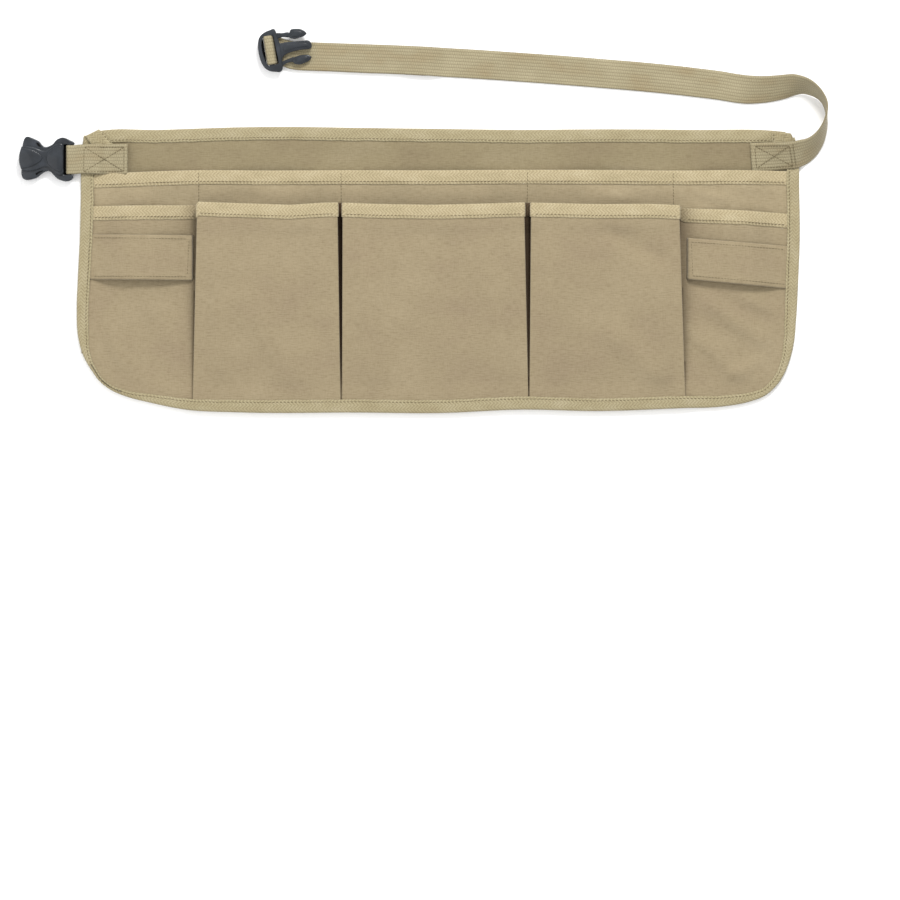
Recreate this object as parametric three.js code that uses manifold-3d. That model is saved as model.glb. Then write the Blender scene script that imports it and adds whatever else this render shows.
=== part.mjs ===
// Carpenter nail apron, lying front side up with its waist strap thrown back over it.
// Millimetres. +X to the wearer's left (right in a front view), +Y up to the waist, +Z out of the front.
// The origin is the middle of the back cloth's underside, on the surface that the apron lies on.
import * as THREE from 'three';
import Module from 'manifold-3d';
import { mergeVertices } from 'three/addons/utils/BufferGeometryUtils.js';

const wasm = await Module();
wasm.setup();

// Driving dimensions
const APRON_WIDTH = 600;
const APRON_HEIGHT = 237;
const CORNER_RADIUS = 46;
const CLOTH = 1.0;
const TAPE = 1.0;
const TAPE_WIDTH = 10.5;
const GAP = 0.3;
const UPPER_MOUTH_DROP = 39.5;
const LOWER_MOUTH_DROP = 66;
const UPPER_GAPE = 5.4;
const SIDE_GAPE = 5.4;
const FRONT_STAND = 12;
const FRONT_CROWN = 1.5;
const PLEAT_DEPTH = 12;
const LOOP_HEIGHT = 36;
const LOOP_DROP_LEFT = 23;
const LOOP_DROP_RIGHT = 26;
const LOOP_STAND = 6.6;
const WEB_WIDTH = 24;
const WEB = 1.5;
const PATCH_LENGTH = 40;
const WAIST_DROP = 25.5;
const TURN_REACH = 22.8;
const TURN_RISE = 55;
const RUN_LENGTH = 394;
const RUN_RISE = 32;
const TAIL_LENGTH = 130;
const HEM_LENGTH = 10;
const SOCKET_LENGTH = 46;
const SOCKET_WIDTH = 37;
const SOCKET_THICKNESS = 10;
const SOCKET_WALL = 1.8;
const PLUG_LENGTH = 45;
const PLUG_WIDTH = 36;
const PLUG_THICKNESS = 4.5;
const BAR = 3;

// Colours
const CANVAS_COLOUR = 0xa79a78;
const TAPE_COLOUR = 0xc2b58c;
const WEB_COLOUR = 0xb6a982;
const PLASTIC_COLOUR = 0x33363c;

// Worked-out sizes
const LAYER = CLOTH + GAP;
const TAPE_LAYER = TAPE + GAP;
const HALF_WIDTH = APRON_WIDTH / 2 - TAPE - GAP;
const TOP = APRON_HEIGHT / 2 - TAPE - GAP;
const BOTTOM = -TOP;
const UPPER_MOUTH = APRON_HEIGHT / 2 - UPPER_MOUTH_DROP;
const LOWER_MOUTH = APRON_HEIGHT / 2 - LOWER_MOUTH_DROP;
const RIM_FLAT = TAPE_WIDTH + 8;
const RIM_RAMP = 12;
const MOUTH_FLAT = TAPE_WIDTH + 3;
const PITCH = LAYER;

// Seams between the pockets, as shares of the apron's width from its middle, and each box pocket's
// fold edges there: how far its front stops short of the seam at the mouth and at the bottom, as
// shares of the pleat's depth. A share below nought is a front that laps past its seam.
const SEAMS = [
  { at: -0.333, left: null, right: { mouth: 0.0, bottom: -0.34 } },
  { at: -0.1355, left: { mouth: 0.16, bottom: 0.08 }, right: { mouth: 0.12, bottom: 0.08 } },
  { at: 0.124, left: { mouth: 0.34, bottom: 0.08 }, right: { mouth: 0.26, bottom: 0.08 } },
  { at: 0.324, left: { mouth: -0.4, bottom: -0.8 }, right: null },
];
// How each edge of the laid cloth is off its straight line, as shares of the apron's height
const LIE = { topBow: 0.008, bottomRise: 0.014, leftBulge: 0.01, rightLean: 0.012 };

const smooth = (value, from, to) => THREE.MathUtils.smoothstep(value, from, to);
const seamX = (seam) => seam.at * APRON_WIDTH;

// The laid cloth is a little out of square
function lie(x, y) {
  const across = x / (APRON_WIDTH / 2);
  const up = y / (APRON_HEIGHT / 2);
  const bow = LIE.topBow * (0.6 - (across + 0.25) ** 2) * (up + 1) / 2;
  const rise = LIE.bottomRise * smooth(across, -0.1, 1) * (1 - up) / 2;
  const bulge = -LIE.leftBulge * (1 - (up + 0.3) ** 2) * (1 - across) / 2;
  const lean = -LIE.rightLean * smooth(-up, -0.1, 1) * (1 + across) / 2;
  return [x + APRON_HEIGHT * (bulge + lean), y + APRON_HEIGHT * (bow + rise)];
}

// Lowest point of the cloth at a place across it, with the two rounded bottom corners
function bottomAt(x) {
  const past = Math.max(Math.abs(x) - (HALF_WIDTH - CORNER_RADIUS), 0);
  return BOTTOM + CORNER_RADIUS - Math.sqrt(Math.max(CORNER_RADIUS ** 2 - past ** 2, 0));
}

// How far a place is from the cloth's edge
function inset(x, y) {
  const fromSide = HALF_WIDTH - Math.abs(x);
  const fromBottom = y - BOTTOM;
  if (fromSide < CORNER_RADIUS && fromBottom < CORNER_RADIUS) {
    return CORNER_RADIUS - Math.hypot(CORNER_RADIUS - fromSide, CORNER_RADIUS - fromBottom);
  }
  return Math.min(fromSide, fromBottom, TOP - y);
}

// The edge of the cloth lies on the tape's lower leg
const rimLift = (x, y) => TAPE_LAYER * (1 - smooth(inset(x, y), RIM_FLAT, RIM_FLAT + RIM_RAMP));

// 0 at a pocket's seams, 1 over the middle of it
function between(x, from, to) {
  const flat = PLEAT_DEPTH + 2;
  const slope = (to - from) * 0.3;
  return smooth(x, from + flat, from + flat + slope) * smooth(-x, -to + flat, -to + flat + slope);
}

const seamPlaces = [-HALF_WIDTH, ...SEAMS.map(seamX), HALF_WIDTH];

function gape(x) {
  let share = 0;
  for (let i = 0; i + 1 < seamPlaces.length; i += 1) {
    const [from, to] = [seamPlaces[i], seamPlaces[i + 1]];
    if (x >= from && x <= to) share = between(x, from, to);
  }
  return share;
}

// How high the upper pockets' cloth stands off the back cloth
const GAPE_REACH = 80;
const GAPE_END = 110;
function upperStand(x, y) {
  const drop = UPPER_MOUTH - y;
  const lift = TAPE_LAYER * (1 - smooth(drop, MOUTH_FLAT, MOUTH_FLAT + RIM_RAMP));
  const near = smooth(drop, MOUTH_FLAT, GAPE_REACH);
  const far = smooth(drop, 0.75 * GAPE_REACH, GAPE_END);
  return lift + UPPER_GAPE * gape(x) * (1 - 0.75 * near - 0.25 * far);
}

// The same for the flat part of the lower pockets' cloth
function lowerStand(x, y) {
  const drop = LOWER_MOUTH - y;
  const lift = TAPE_LAYER * (1 - smooth(drop, MOUTH_FLAT, MOUTH_FLAT + RIM_RAMP));
  const side = Math.abs(x) > seamX(SEAMS[3]) ? 1 : 0;
  return lift + side * SIDE_GAPE * gape(x) * (1 - smooth(drop, MOUTH_FLAT, GAPE_END));
}

// Underside of each cloth. A mouth's strip keeps one height down to where its tape ends.
const POCKET_TOP = LOWER_MOUTH - MOUTH_FLAT;
const backZ = (x, y) => rimLift(x, y);
const upperZ = (x, y) => rimLift(x, y) + LAYER + upperStand(x, y);
function lowerZ(x, y) {
  const restsOn = y > POCKET_TOP - 1e-6 ? LOWER_MOUTH : y;
  return rimLift(x, y) + 2 * LAYER + upperStand(x, restsOn) + lowerStand(x, y);
}

const CORNER_STEPS = 7;
const FRONT_SHARES = [0.24, 0.38, 0.5, 0.62, 0.76];

// Places across the cloth that every panel shares, so that stacked cloths stay parallel
function columnPlaces() {
  const edge = [TAPE_WIDTH + GAP];
  for (let i = 0; i <= CORNER_STEPS; i += 1) {
    edge.push(CORNER_RADIUS * (1 - Math.cos((i / CORNER_STEPS) * Math.PI / 2)));
  }
  const places = edge.flatMap((x) => [x - HALF_WIDTH, HALF_WIDTH - x]);
  const seams = SEAMS.map(seamX);
  for (const x of seams) places.push(x - PLEAT_DEPTH - 2, x, x + PLEAT_DEPTH + 2);
  for (const share of [0.6, 0.75]) {
    places.push(THREE.MathUtils.lerp(-HALF_WIDTH, seams[0], share));
    places.push(THREE.MathUtils.lerp(HALF_WIDTH, seams[3], share));
  }
  for (const share of FRONT_SHARES) {
    for (let i = 0; i < 3; i += 1) places.push(THREE.MathUtils.lerp(seams[i], seams[i + 1], share));
  }
  return places.sort((a, b) => a - b);
}
const COLUMNS = columnPlaces();

// Heights up the cloth at a place across it, from its top edge down to its rounded bottom edge. Every
// panel takes the rows from its own mouth down, so stacked cloths share them too.
const ROWS = { back: 0, upper: 2, lower: 4 };
function rowsAt(x) {
  const bottom = bottomAt(x);
  const rows = [TOP, TOP - MOUTH_FLAT, UPPER_MOUTH, UPPER_MOUTH - MOUTH_FLAT];
  const rimTop = bottom + RIM_FLAT + RIM_RAMP;
  rows.push(LOWER_MOUTH, POCKET_TOP);
  for (const share of [0.3, 0.65]) rows.push(THREE.MathUtils.lerp(POCKET_TOP, rimTop, share));
  return [...rows, rimTop, bottom + RIM_FLAT, bottom];
}

// Closed solid between two grids of points that have the same rows and columns
function solidBetween(under, over) {
  const rows = under.length;
  const columns = under[0].length;
  const points = [...under.flat(), ...over.flat()];
  const shift = rows * columns;
  const at = (row, column) => row * columns + column;
  const faces = [];
  const quad = (a, b, c, d) => faces.push(a, b, c, a, c, d);
  for (let r = 0; r + 1 < rows; r += 1) {
    for (let c = 0; c + 1 < columns; c += 1) {
      quad(at(r, c), at(r, c + 1), at(r + 1, c + 1), at(r + 1, c));
      quad(shift + at(r, c), shift + at(r + 1, c), shift + at(r + 1, c + 1), shift + at(r, c + 1));
    }
    quad(at(r, 0), at(r + 1, 0), shift + at(r + 1, 0), shift + at(r, 0));
    quad(at(r + 1, columns - 1), at(r, columns - 1), shift + at(r, columns - 1), shift + at(r + 1, columns - 1));
  }
  for (let c = 0; c + 1 < columns; c += 1) {
    quad(at(0, c + 1), at(0, c), shift + at(0, c), shift + at(0, c + 1));
    quad(at(rows - 1, c), at(rows - 1, c + 1), shift + at(rows - 1, c + 1), shift + at(rows - 1, c));
  }
  return geometryOf(points, faces);
}

// Welds the points and turns the faces outwards
function geometryOf(points, faces) {
  const geometry = new THREE.BufferGeometry();
  geometry.setAttribute('position', new THREE.Float32BufferAttribute(points.flat(), 3));
  geometry.setIndex(faces);
  const merged = mergeVertices(geometry, 1e-4);
  return signedVolume(merged) < 0 ? flipped(merged) : merged;
}

function signedVolume(geometry) {
  const [a, b, c] = [new THREE.Vector3(), new THREE.Vector3(), new THREE.Vector3()];
  const { position } = geometry.attributes;
  let volume = 0;
  for (let i = 0; i < geometry.index.count; i += 3) {
    a.fromBufferAttribute(position, geometry.index.getX(i));
    b.fromBufferAttribute(position, geometry.index.getX(i + 1));
    c.fromBufferAttribute(position, geometry.index.getX(i + 2));
    volume += a.dot(b.cross(c)) / 6;
  }
  return volume;
}

function flipped(geometry) {
  const faces = Array.from(geometry.index.array);
  for (let i = 0; i < faces.length; i += 3) [faces[i + 1], faces[i + 2]] = [faces[i + 2], faces[i + 1]];
  geometry.setIndex(faces);
  return geometry;
}

// A cloth that lies flat between its columns, from one of the rows down, given its underside's height
function flatCloth(firstRow, heightAt) {
  const under = [];
  const over = [];
  for (let r = firstRow; r < rowsAt(0).length; r += 1) {
    const line = COLUMNS.map((x) => [x, rowsAt(x)[r]]);
    under.push(line.map(([x, y]) => [...lie(x, y), heightAt(x, y)]));
    over.push(line.map(([x, y]) => [...lie(x, y), heightAt(x, y) + CLOTH]));
  }
  return solidBetween(under, over);
}

// How far down a box pocket a row is: 0 along its mouth's strip, 1 from the rim's flat edge down
function downPocket(row) {
  const y = rowsAt(0)[row];
  return THREE.MathUtils.clamp((POCKET_TOP - y) / (POCKET_TOP - (BOTTOM + RIM_FLAT)), 0, 1);
}

// The pleated cloth's middle line across one row: points of x and z, with every fold
function pleatedLine(row) {
  const down = downPocket(row);
  const flat = (x) => [x, lowerZ(x, rowsAt(x)[row]) + CLOTH / 2];
  const line = COLUMNS.filter((x) => x < seamX(SEAMS[0]) + 1e-6).map(flat);
  for (let i = 0; i < 3; i += 1) {
    const [from, to] = [SEAMS[i], SEAMS[i + 1]];
    const left = foldPlaces(seamX(from), 1, from.right, row);
    const right = foldPlaces(seamX(to), -1, to.left, row);
    const [start, end] = [left.at(-1), right.at(-1)];
    line.push(...left.map((p) => [p.x, p.z]));
    for (const share of FRONT_SHARES) {
      const crown = FRONT_CROWN * Math.sin(Math.PI * share) * (1 - down);
      line.push([THREE.MathUtils.lerp(start.x, end.x, share), THREE.MathUtils.lerp(start.z, end.z, share) + crown]);
    }
    line.push(...right.reverse().map((p) => [p.x, p.z]));
    line.push(flat(seamX(to)));
  }
  return [...line, ...COLUMNS.filter((x) => x > seamX(SEAMS[3]) + 1e-6).map(flat)];
}

// One box pleat's half: along the base away from the seam, round the hidden fold, back, and round the
// outer fold on to the pocket's front. side is 1 where the pocket is to the right of the seam.
function foldPlaces(seam, side, share, row) {
  const down = downPocket(row);
  const stop = PLEAT_DEPTH * THREE.MathUtils.lerp(share.mouth, share.bottom, down);
  const base = lowerZ(seam, rowsAt(seam)[row]) + CLOTH / 2;
  const front = base + THREE.MathUtils.lerp(FRONT_STAND, 2 * PITCH, down ** 1.4);
  const outer = PITCH + TAPE_LAYER * (1 - down);
  const places = [];
  const turn = (x, z, facing, pitch) => {
    for (const degrees of [-90, -30, 30, 90]) {
      const angle = THREE.MathUtils.degToRad(degrees);
      places.push({ x: x + facing * (pitch / 2) * Math.cos(angle), z: z + (pitch / 2) * Math.sin(angle) });
    }
  };
  turn(seam + side * (PLEAT_DEPTH - PITCH / 2), base + PITCH / 2, side, PITCH);
  turn(seam + side * (stop + outer / 2), front - outer / 2, -side, outer);
  return places;
}

// The pleated cloth, its middle line thickened to both sides and parted at the seams into its pockets
function lowerPockets() {
  const names = ['left', 'inner_left', 'middle', 'inner_right', 'right'];
  const pieces = names.map((word) => ({ name: `lower_pocket_${word}`, under: [], over: [] }));
  for (let row = ROWS.lower; row < rowsAt(0).length; row += 1) {
    const line = pleatedLine(row);
    const cuts = [0, ...seamIndexes(line, row), line.length - 1];
    const sides = [thickened(line, -CLOTH / 2), thickened(line, CLOTH / 2)];
    pieces.forEach((piece, i) => {
      const [under, over] = sides.map((side) => side.slice(cuts[i], cuts[i + 1] + 1).map(([x, z], k, part) => {
        const parted = i > 0 && k === 0 ? GAP / 2 : 0;
        const ended = i < 4 && k === part.length - 1 ? GAP / 2 : 0;
        const held = THREE.MathUtils.clamp(x, -HALF_WIDTH, HALF_WIDTH);
        return [...lie(x + parted - ended, rowsAt(held)[row]), z];
      }));
      piece.under.push(under);
      piece.over.push(over);
    });
  }
  return pieces.map(({ name, under, over }) => ({ name, geometry: solidBetween(under, over) }));
}

// Where the pleated line is sewn down: its places on the base at the four seams
function seamIndexes(line, row) {
  return SEAMS.map((seam) => {
    const base = lowerZ(seamX(seam), rowsAt(seamX(seam))[row]) + CLOTH / 2;
    return line.findIndex(([x, z]) => Math.abs(x - seamX(seam)) < 1e-6 && Math.abs(z - base) < 1e-6);
  });
}

// A line in x and z moved sideways by an offset, mitred at its corners
function thickened(line, offset) {
  return line.map(([x, z], i) => {
    const before = line[Math.max(i - 1, 0)];
    const after = line[Math.min(i + 1, line.length - 1)];
    const first = new THREE.Vector2(x - before[0], z - before[1]);
    const second = new THREE.Vector2(after[0] - x, after[1] - z);
    if (i === 0) first.copy(second);
    if (i === line.length - 1) second.copy(first);
    first.normalize();
    second.normalize();
    const normal = new THREE.Vector2(-(first.y + second.y), first.x + second.x).normalize();
    const mitre = Math.min(1 / Math.max(normal.x * -first.y + normal.y * first.x, 0.5), 1.6);
    const ends = i === 0 || i === line.length - 1;
    return ends ? [x, z + offset] : [x + normal.x * offset * mitre, z + normal.y * offset * mitre];
  });
}

// A tape folded over an edge: a U-shaped section carried along stations. Each station has its place on
// the edge, the way into the cloth, the cloth's underside there and its top.
function foldedTape(stations) {
  const rings = stations.map(({ x, y, inward, under, over }, i) => {
    const before = stations[Math.max(i - 1, 0)].inward;
    const mitre = 2 / (1 + Math.max(before[0] * inward[0] + before[1] * inward[1], 0));
    const low = under - GAP;
    const high = over + GAP;
    const section = [[TAPE_WIDTH, low - TAPE], [-GAP - TAPE, low - TAPE], [-GAP - TAPE, high + TAPE],
      [TAPE_WIDTH, high + TAPE], [TAPE_WIDTH, high], [-GAP, high], [-GAP, low], [TAPE_WIDTH, low]];
    return section.map(([a, z]) => [...lie(x + inward[0] * a * mitre, y + inward[1] * a * mitre), z]);
  });
  return swept(rings, [[0, 1, 6, 7], [1, 2, 5, 6], [2, 3, 4, 5]]);
}

// Closed solid through a list of rings, with its two ends closed by the quads given
function swept(rings, ends) {
  const sides = rings[0].length;
  const faces = [];
  const quad = (a, b, c, d) => faces.push(a, b, c, a, c, d);
  for (let i = 0; i + 1 < rings.length; i += 1) {
    for (let k = 0; k < sides; k += 1) {
      const next = (k + 1) % sides;
      quad(i * sides + k, i * sides + next, (i + 1) * sides + next, (i + 1) * sides + k);
    }
  }
  const last = (rings.length - 1) * sides;
  for (const [a, b, c, d] of ends) {
    quad(d, c, b, a);
    quad(last + a, last + b, last + c, last + d);
  }
  return geometryOf(rings.flat(), faces);
}

// Top of all the cloth at a place on the apron's edge
function stackTop(x, y) {
  if (y > UPPER_MOUTH + EDGE_STEP) return TAPE_LAYER + CLOTH;
  if (y > LOWER_MOUTH + EDGE_STEP) return TAPE_LAYER + CLOTH + LAYER + TAPE_LAYER;
  const pleated = x > seamX(SEAMS[0]) - PLEAT_DEPTH && x < seamX(SEAMS[3]) + PLEAT_DEPTH;
  return TAPE_LAYER + CLOTH + 2 * LAYER + (pleated ? 2 * PITCH : TAPE_LAYER);
}
const EDGE_STEP = 1;

// One side of the edge's tape, from its top end down and round the corner. side is -1 on the left.
function edgeSide(side) {
  const lowest = BOTTOM + CORNER_RADIUS;
  const heights = [
    TOP - TAPE_WIDTH - GAP, UPPER_MOUTH + 1.6, UPPER_MOUTH + 0.6, LOWER_MOUTH + 5, LOWER_MOUTH + 0.6, 0, lowest,
  ];
  const stations = heights.map((y) => ({ x: side * HALF_WIDTH, y, inward: [-side, 0] }));
  for (let i = 1; i <= CORNER_STEPS; i += 1) {
    const angle = (i / CORNER_STEPS) * Math.PI / 2;
    const inward = [-side * Math.cos(angle), Math.sin(angle)];
    const x = side * (HALF_WIDTH - CORNER_RADIUS) - CORNER_RADIUS * inward[0];
    stations.push({ x, y: lowest - CORNER_RADIUS * inward[1], inward });
  }
  return stations;
}

function edgeBinding() {
  const [first, last] = [seamX(SEAMS[0]), seamX(SEAMS[3])];
  const ramp = 12;
  const along = [
    first - PLEAT_DEPTH - ramp, first - PLEAT_DEPTH + 1,
    ...[0.17, 0.33, 0.5, 0.67, 0.83].map((share) => THREE.MathUtils.lerp(first, last, share)),
    last + PLEAT_DEPTH - 1, last + PLEAT_DEPTH + ramp,
  ];
  const bottom = along.map((x) => ({ x, y: BOTTOM, inward: [0, 1] }));
  const stations = [...edgeSide(-1), ...bottom, ...edgeSide(1).reverse()];
  return foldedTape(stations.map((s) => ({ ...s, under: TAPE_LAYER, over: stackTop(s.x, s.y) })));
}

function topBinding() {
  const stations = [-1, -0.8, -0.6, -0.4, -0.2, 0, 0.2, 0.4, 0.6, 0.8, 1].map((share) => {
    return { x: share * HALF_WIDTH, y: TOP, inward: [0, -1], under: TAPE_LAYER, over: TAPE_LAYER + CLOTH };
  });
  return foldedTape(stations);
}

// The tape over a pocket's mouth between two places across it
function mouthBinding(places, mouth, underAt) {
  return foldedTape(places.map((x) => {
    const under = underAt(x);
    return { x, y: mouth, inward: [0, -1], under, over: under + CLOTH };
  }));
}

const insideTape = HALF_WIDTH - TAPE_WIDTH - GAP;
const columnsIn = (from, to) => COLUMNS.filter((x) => x >= from - 1e-6 && x <= to + 1e-6);

function lowerMouthPieces() {
  const half = 0.6;
  const line = pleatedLine(ROWS.lower);
  const pieces = [];
  const first = seamX(SEAMS[0]) - half;
  const last = seamX(SEAMS[3]) + PLEAT_DEPTH * 0.4 + half + PITCH;
  pieces.push({ name: 'lower_pocket_binding_left', places: [...columnsIn(-insideTape, first - 1), first] });
  pieces.push({ name: 'lower_pocket_binding_right', places: [last, ...columnsIn(last + 1, insideTape)] });
  for (const piece of pieces) {
    piece.geometry = mouthBinding(piece.places, LOWER_MOUTH, (x) => lowerZ(x, LOWER_MOUTH));
  }
  ['inner_left', 'middle', 'inner_right'].forEach((word, i) => {
    const [from, to] = [seamX(SEAMS[i]), seamX(SEAMS[i + 1])];
    const left = foldPlaces(from, 1, SEAMS[i].right, ROWS.lower).at(-1);
    const right = foldPlaces(to, -1, SEAMS[i + 1].left, ROWS.lower).at(-1);
    const front = line.filter(([x, z]) => x >= left.x - 1e-6 && x <= right.x + 1e-6 && z >= left.z - 1e-6);
    const heights = new Map(front);
    const geometry = mouthBinding(front.map(([x]) => x), LOWER_MOUTH, (x) => heights.get(x) - CLOTH / 2);
    pieces.push({ name: `lower_pocket_binding_${word}`, geometry });
  });
  return pieces;
}

// Top of the lower pockets' cloth between its rows and columns
function lowerClothTop(x, y) {
  const right = COLUMNS.findIndex((place) => place > x);
  const [from, to] = [COLUMNS[right - 1], COLUMNS[right]];
  const heightIn = (column) => {
    const rows = rowsAt(column);
    const below = rows.findIndex((height) => height < y);
    const share = (rows[below - 1] - y) / (rows[below - 1] - rows[below]);
    return THREE.MathUtils.lerp(lowerZ(column, rows[below - 1]), lowerZ(column, rows[below]), share);
  };
  return THREE.MathUtils.lerp(heightIn(from), heightIn(to), (x - from) / (to - from)) + CLOTH;
}

// A tool loop: a band over a side pocket, sewn at both ends and open above and below
function toolLoop(from, to, top, slope) {
  const shares = [0, 0.06, 0.16, 0.3, 0.5, 0.7, 0.84, 0.94, 1];
  const under = [];
  const over = [];
  for (const drop of [0, LOOP_HEIGHT / 2, LOOP_HEIGHT]) {
    const line = shares.map((share) => {
      const x = THREE.MathUtils.lerp(from, to, share);
      const y = top - drop - slope * Math.abs(x - Math.sign(x) * Math.min(Math.abs(from), Math.abs(to)));
      const open = smooth(share, 0, 0.3) * smooth(-share, -1, -0.7);
      const level = THREE.MathUtils.lerp(lowerClothTop(x, y), lowerClothTop(x, y + drop), open);
      return [x, y, level + GAP + LOOP_STAND * open];
    });
    under.push(line.map(([x, y, z]) => [...lie(x, y), z]));
    over.push(line.map(([x, y, z]) => [...lie(x, y), z + CLOTH]));
  }
  return solidBetween(under, over);
}

// A flat webbing carried along stations, each with its middle and the way to its one edge
function ribbon(stations) {
  const rings = stations.map(({ at, side }, i) => {
    const before = stations[Math.max(i - 1, 0)].at;
    const after = stations[Math.min(i + 1, stations.length - 1)].at;
    const first = at.clone().sub(before).normalize();
    const second = after.clone().sub(at).normalize();
    const along = first.clone().add(second).normalize();
    const turn = i > 0 && i < stations.length - 1 ? Math.max(along.dot(second), 0.72) : 1;
    const up = new THREE.Vector3().crossVectors(along, side).normalize().multiplyScalar(WEB / 2 / turn);
    const wide = side.clone().multiplyScalar(WEB_WIDTH / 2);
    const corner = (a, b) => at.clone().addScaledVector(wide, a).addScaledVector(up, b).toArray();
    return [corner(1, 1), corner(-1, 1), corner(-1, -1), corner(1, -1)];
  });
  const faces = [];
  const quad = (a, b, c, d) => faces.push(a, b, c, a, c, d);
  for (let i = 0; i + 1 < rings.length; i += 1) {
    const [a, b] = [4 * i, 4 * i + 4];
    quad(a, a + 1, b + 1, b);
    quad(a + 1, a + 2, b + 2, b + 1);
    quad(a + 3, b + 3, b + 2, a + 2);
    quad(a + 3, a, b, b + 3);
  }
  quad(3, 2, 1, 0);
  const last = 4 * (rings.length - 1);
  quad(last, last + 1, last + 2, last + 3);
  return geometryOf(rings.flat(), faces);
}

// Webbing heights: on the back cloth's raised top edge, and over the tape at the apron's side
const WEB_ON_CLOTH = TAPE_LAYER + LAYER + WEB / 2;
const WEB_OVER_TAPE = WEB_ON_CLOTH + TAPE_LAYER;
const WAIST = APRON_HEIGHT / 2 - WAIST_DROP;
const UPRIGHT = new THREE.Vector3(0, 1, 0);

// Stations of webbing that is sewn on at the apron's side: how far each is from the edge, and its height
const PATCH = [
  { fromEdge: PATCH_LENGTH, z: WEB_ON_CLOTH }, { fromEdge: TAPE_WIDTH + 7, z: WEB_ON_CLOTH },
  { fromEdge: TAPE_WIDTH + 3, z: WEB_OVER_TAPE }, { fromEdge: 0, z: WEB_OVER_TAPE },
];

// The strap's half twist beside the apron: how far out and up each station is, as shares of the turn's
// reach and rise, and how far the webbing leans there
const TURN = [
  { out: 0.1, up: 0.0, lean: 4 },
  { out: 0.41, up: 0.07, lean: 40 },
  { out: 0.745, up: 0.23, lean: 61 },
  { out: 0.92, up: 0.4, lean: 74 },
  { out: 1.0, up: 0.57, lean: 86 },
  { out: 0.97, up: 0.72, lean: 98 },
  { out: 0.8, up: 0.88, lean: 108 },
  { out: 0.3, up: 1.02, lean: 119 },
  { out: -0.35, up: 1.05, lean: 146 },
  { out: -1.1, up: 1.01, lean: 162 },
  { out: -2.0, up: 1.0, lean: 176 },
];

// How far the strap's run bows off a straight line along its way, as shares of its rise
const RUN = [
  { along: 0, bow: 0 }, { along: 0.14, bow: 0.09 }, { along: 0.3, bow: 0.145 }, { along: 0.47, bow: 0.105 },
  { along: 0.64, bow: 0.075 }, { along: 0.8, bow: 0.015 }, { along: 0.92, bow: -0.015 }, { along: 1, bow: 0 },
];

const PLUG_TILT = THREE.MathUtils.degToRad(-5);
const plugAlong = new THREE.Vector3(Math.cos(PLUG_TILT), Math.sin(PLUG_TILT), 0);
const plugSide = new THREE.Vector3(-Math.sin(PLUG_TILT), Math.cos(PLUG_TILT), 0);
const turnEnd = new THREE.Vector3(
  APRON_WIDTH / 2 + TURN.at(-1).out * TURN_REACH, WAIST + TURN.at(-1).up * TURN_RISE, 0,
);
const plugBar = new THREE.Vector3(turnEnd.x - RUN_LENGTH, turnEnd.y + RUN_RISE, 0);
const RUN_HEIGHT = WEB + GAP + WEB / 2;
const PLUG_BASE = 2 * (WEB + GAP);
const PLUG_SLOT = WEB + 5 * GAP;

function turnStations() {
  const chosen = TURN.map(({ out, up, lean }) => new THREE.Vector3(out, up, lean / 100));
  const turn = new THREE.CatmullRomCurve3(chosen, false, 'catmullrom').getPoints(2 * (TURN.length - 1));
  return turn.map(({ x: out, y: up, z: lean }, i) => {
    const near = [turn[Math.max(i - 1, 0)], turn[Math.min(i + 1, turn.length - 1)]];
    const heading = new THREE.Vector3(
      (near[1].x - near[0].x) * TURN_REACH, (near[1].y - near[0].y) * TURN_RISE, 0,
    ).normalize();
    const inside = new THREE.Vector3(-heading.y, heading.x, 0);
    const angle = THREE.MathUtils.degToRad(lean * 100);
    const side = inside.multiplyScalar(Math.cos(angle)).setZ(Math.sin(angle));
    const standing = (WEB_WIDTH / 2) * Math.sin(angle) + WEB / 2;
    const landing = i > turn.length * 0.7 ? (WEB + GAP) * 0.2 : 0;
    const z = i === 0 ? WEB_OVER_TAPE : standing + landing;
    return { at: new THREE.Vector3(APRON_WIDTH / 2 + out * TURN_REACH, WAIST + up * TURN_RISE, z), side };
  });
}

// A place on the run, a length before the plug's bar
function onRun(before, z) {
  const along = 1 - before / RUN_LENGTH;
  const next = RUN.findIndex((place) => place.along > along);
  const [a, b] = [RUN[next - 1], RUN[next]];
  const at = turnEnd.clone().lerp(plugBar, along).setZ(z);
  at.y += RUN_RISE * THREE.MathUtils.lerp(a.bow, b.bow, (along - a.along) / (b.along - a.along));
  return { at, side: UPRIGHT };
}

// The run lies on the surface, then over the tail's hem, then on the tail
function runStations() {
  const overHem = RUN_HEIGHT + WEB + GAP;
  const free = RUN.slice(1, 5).map(({ along }) => onRun((1 - along) * RUN_LENGTH, WEB / 2));
  return [
    ...free.filter(({ at }) => at.x > plugBar.x + TAIL_LENGTH + 3 * HEM_LENGTH),
    onRun(TAIL_LENGTH + 2 * HEM_LENGTH, WEB / 2), onRun(TAIL_LENGTH + 0.6 * HEM_LENGTH, overHem),
    onRun(TAIL_LENGTH - 1.4 * HEM_LENGTH, overHem), onRun(TAIL_LENGTH - 3 * HEM_LENGTH, RUN_HEIGHT),
    onRun(0.4 * TAIL_LENGTH, RUN_HEIGHT), onRun(0.2 * TAIL_LENGTH, RUN_HEIGHT),
  ];
}

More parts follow.
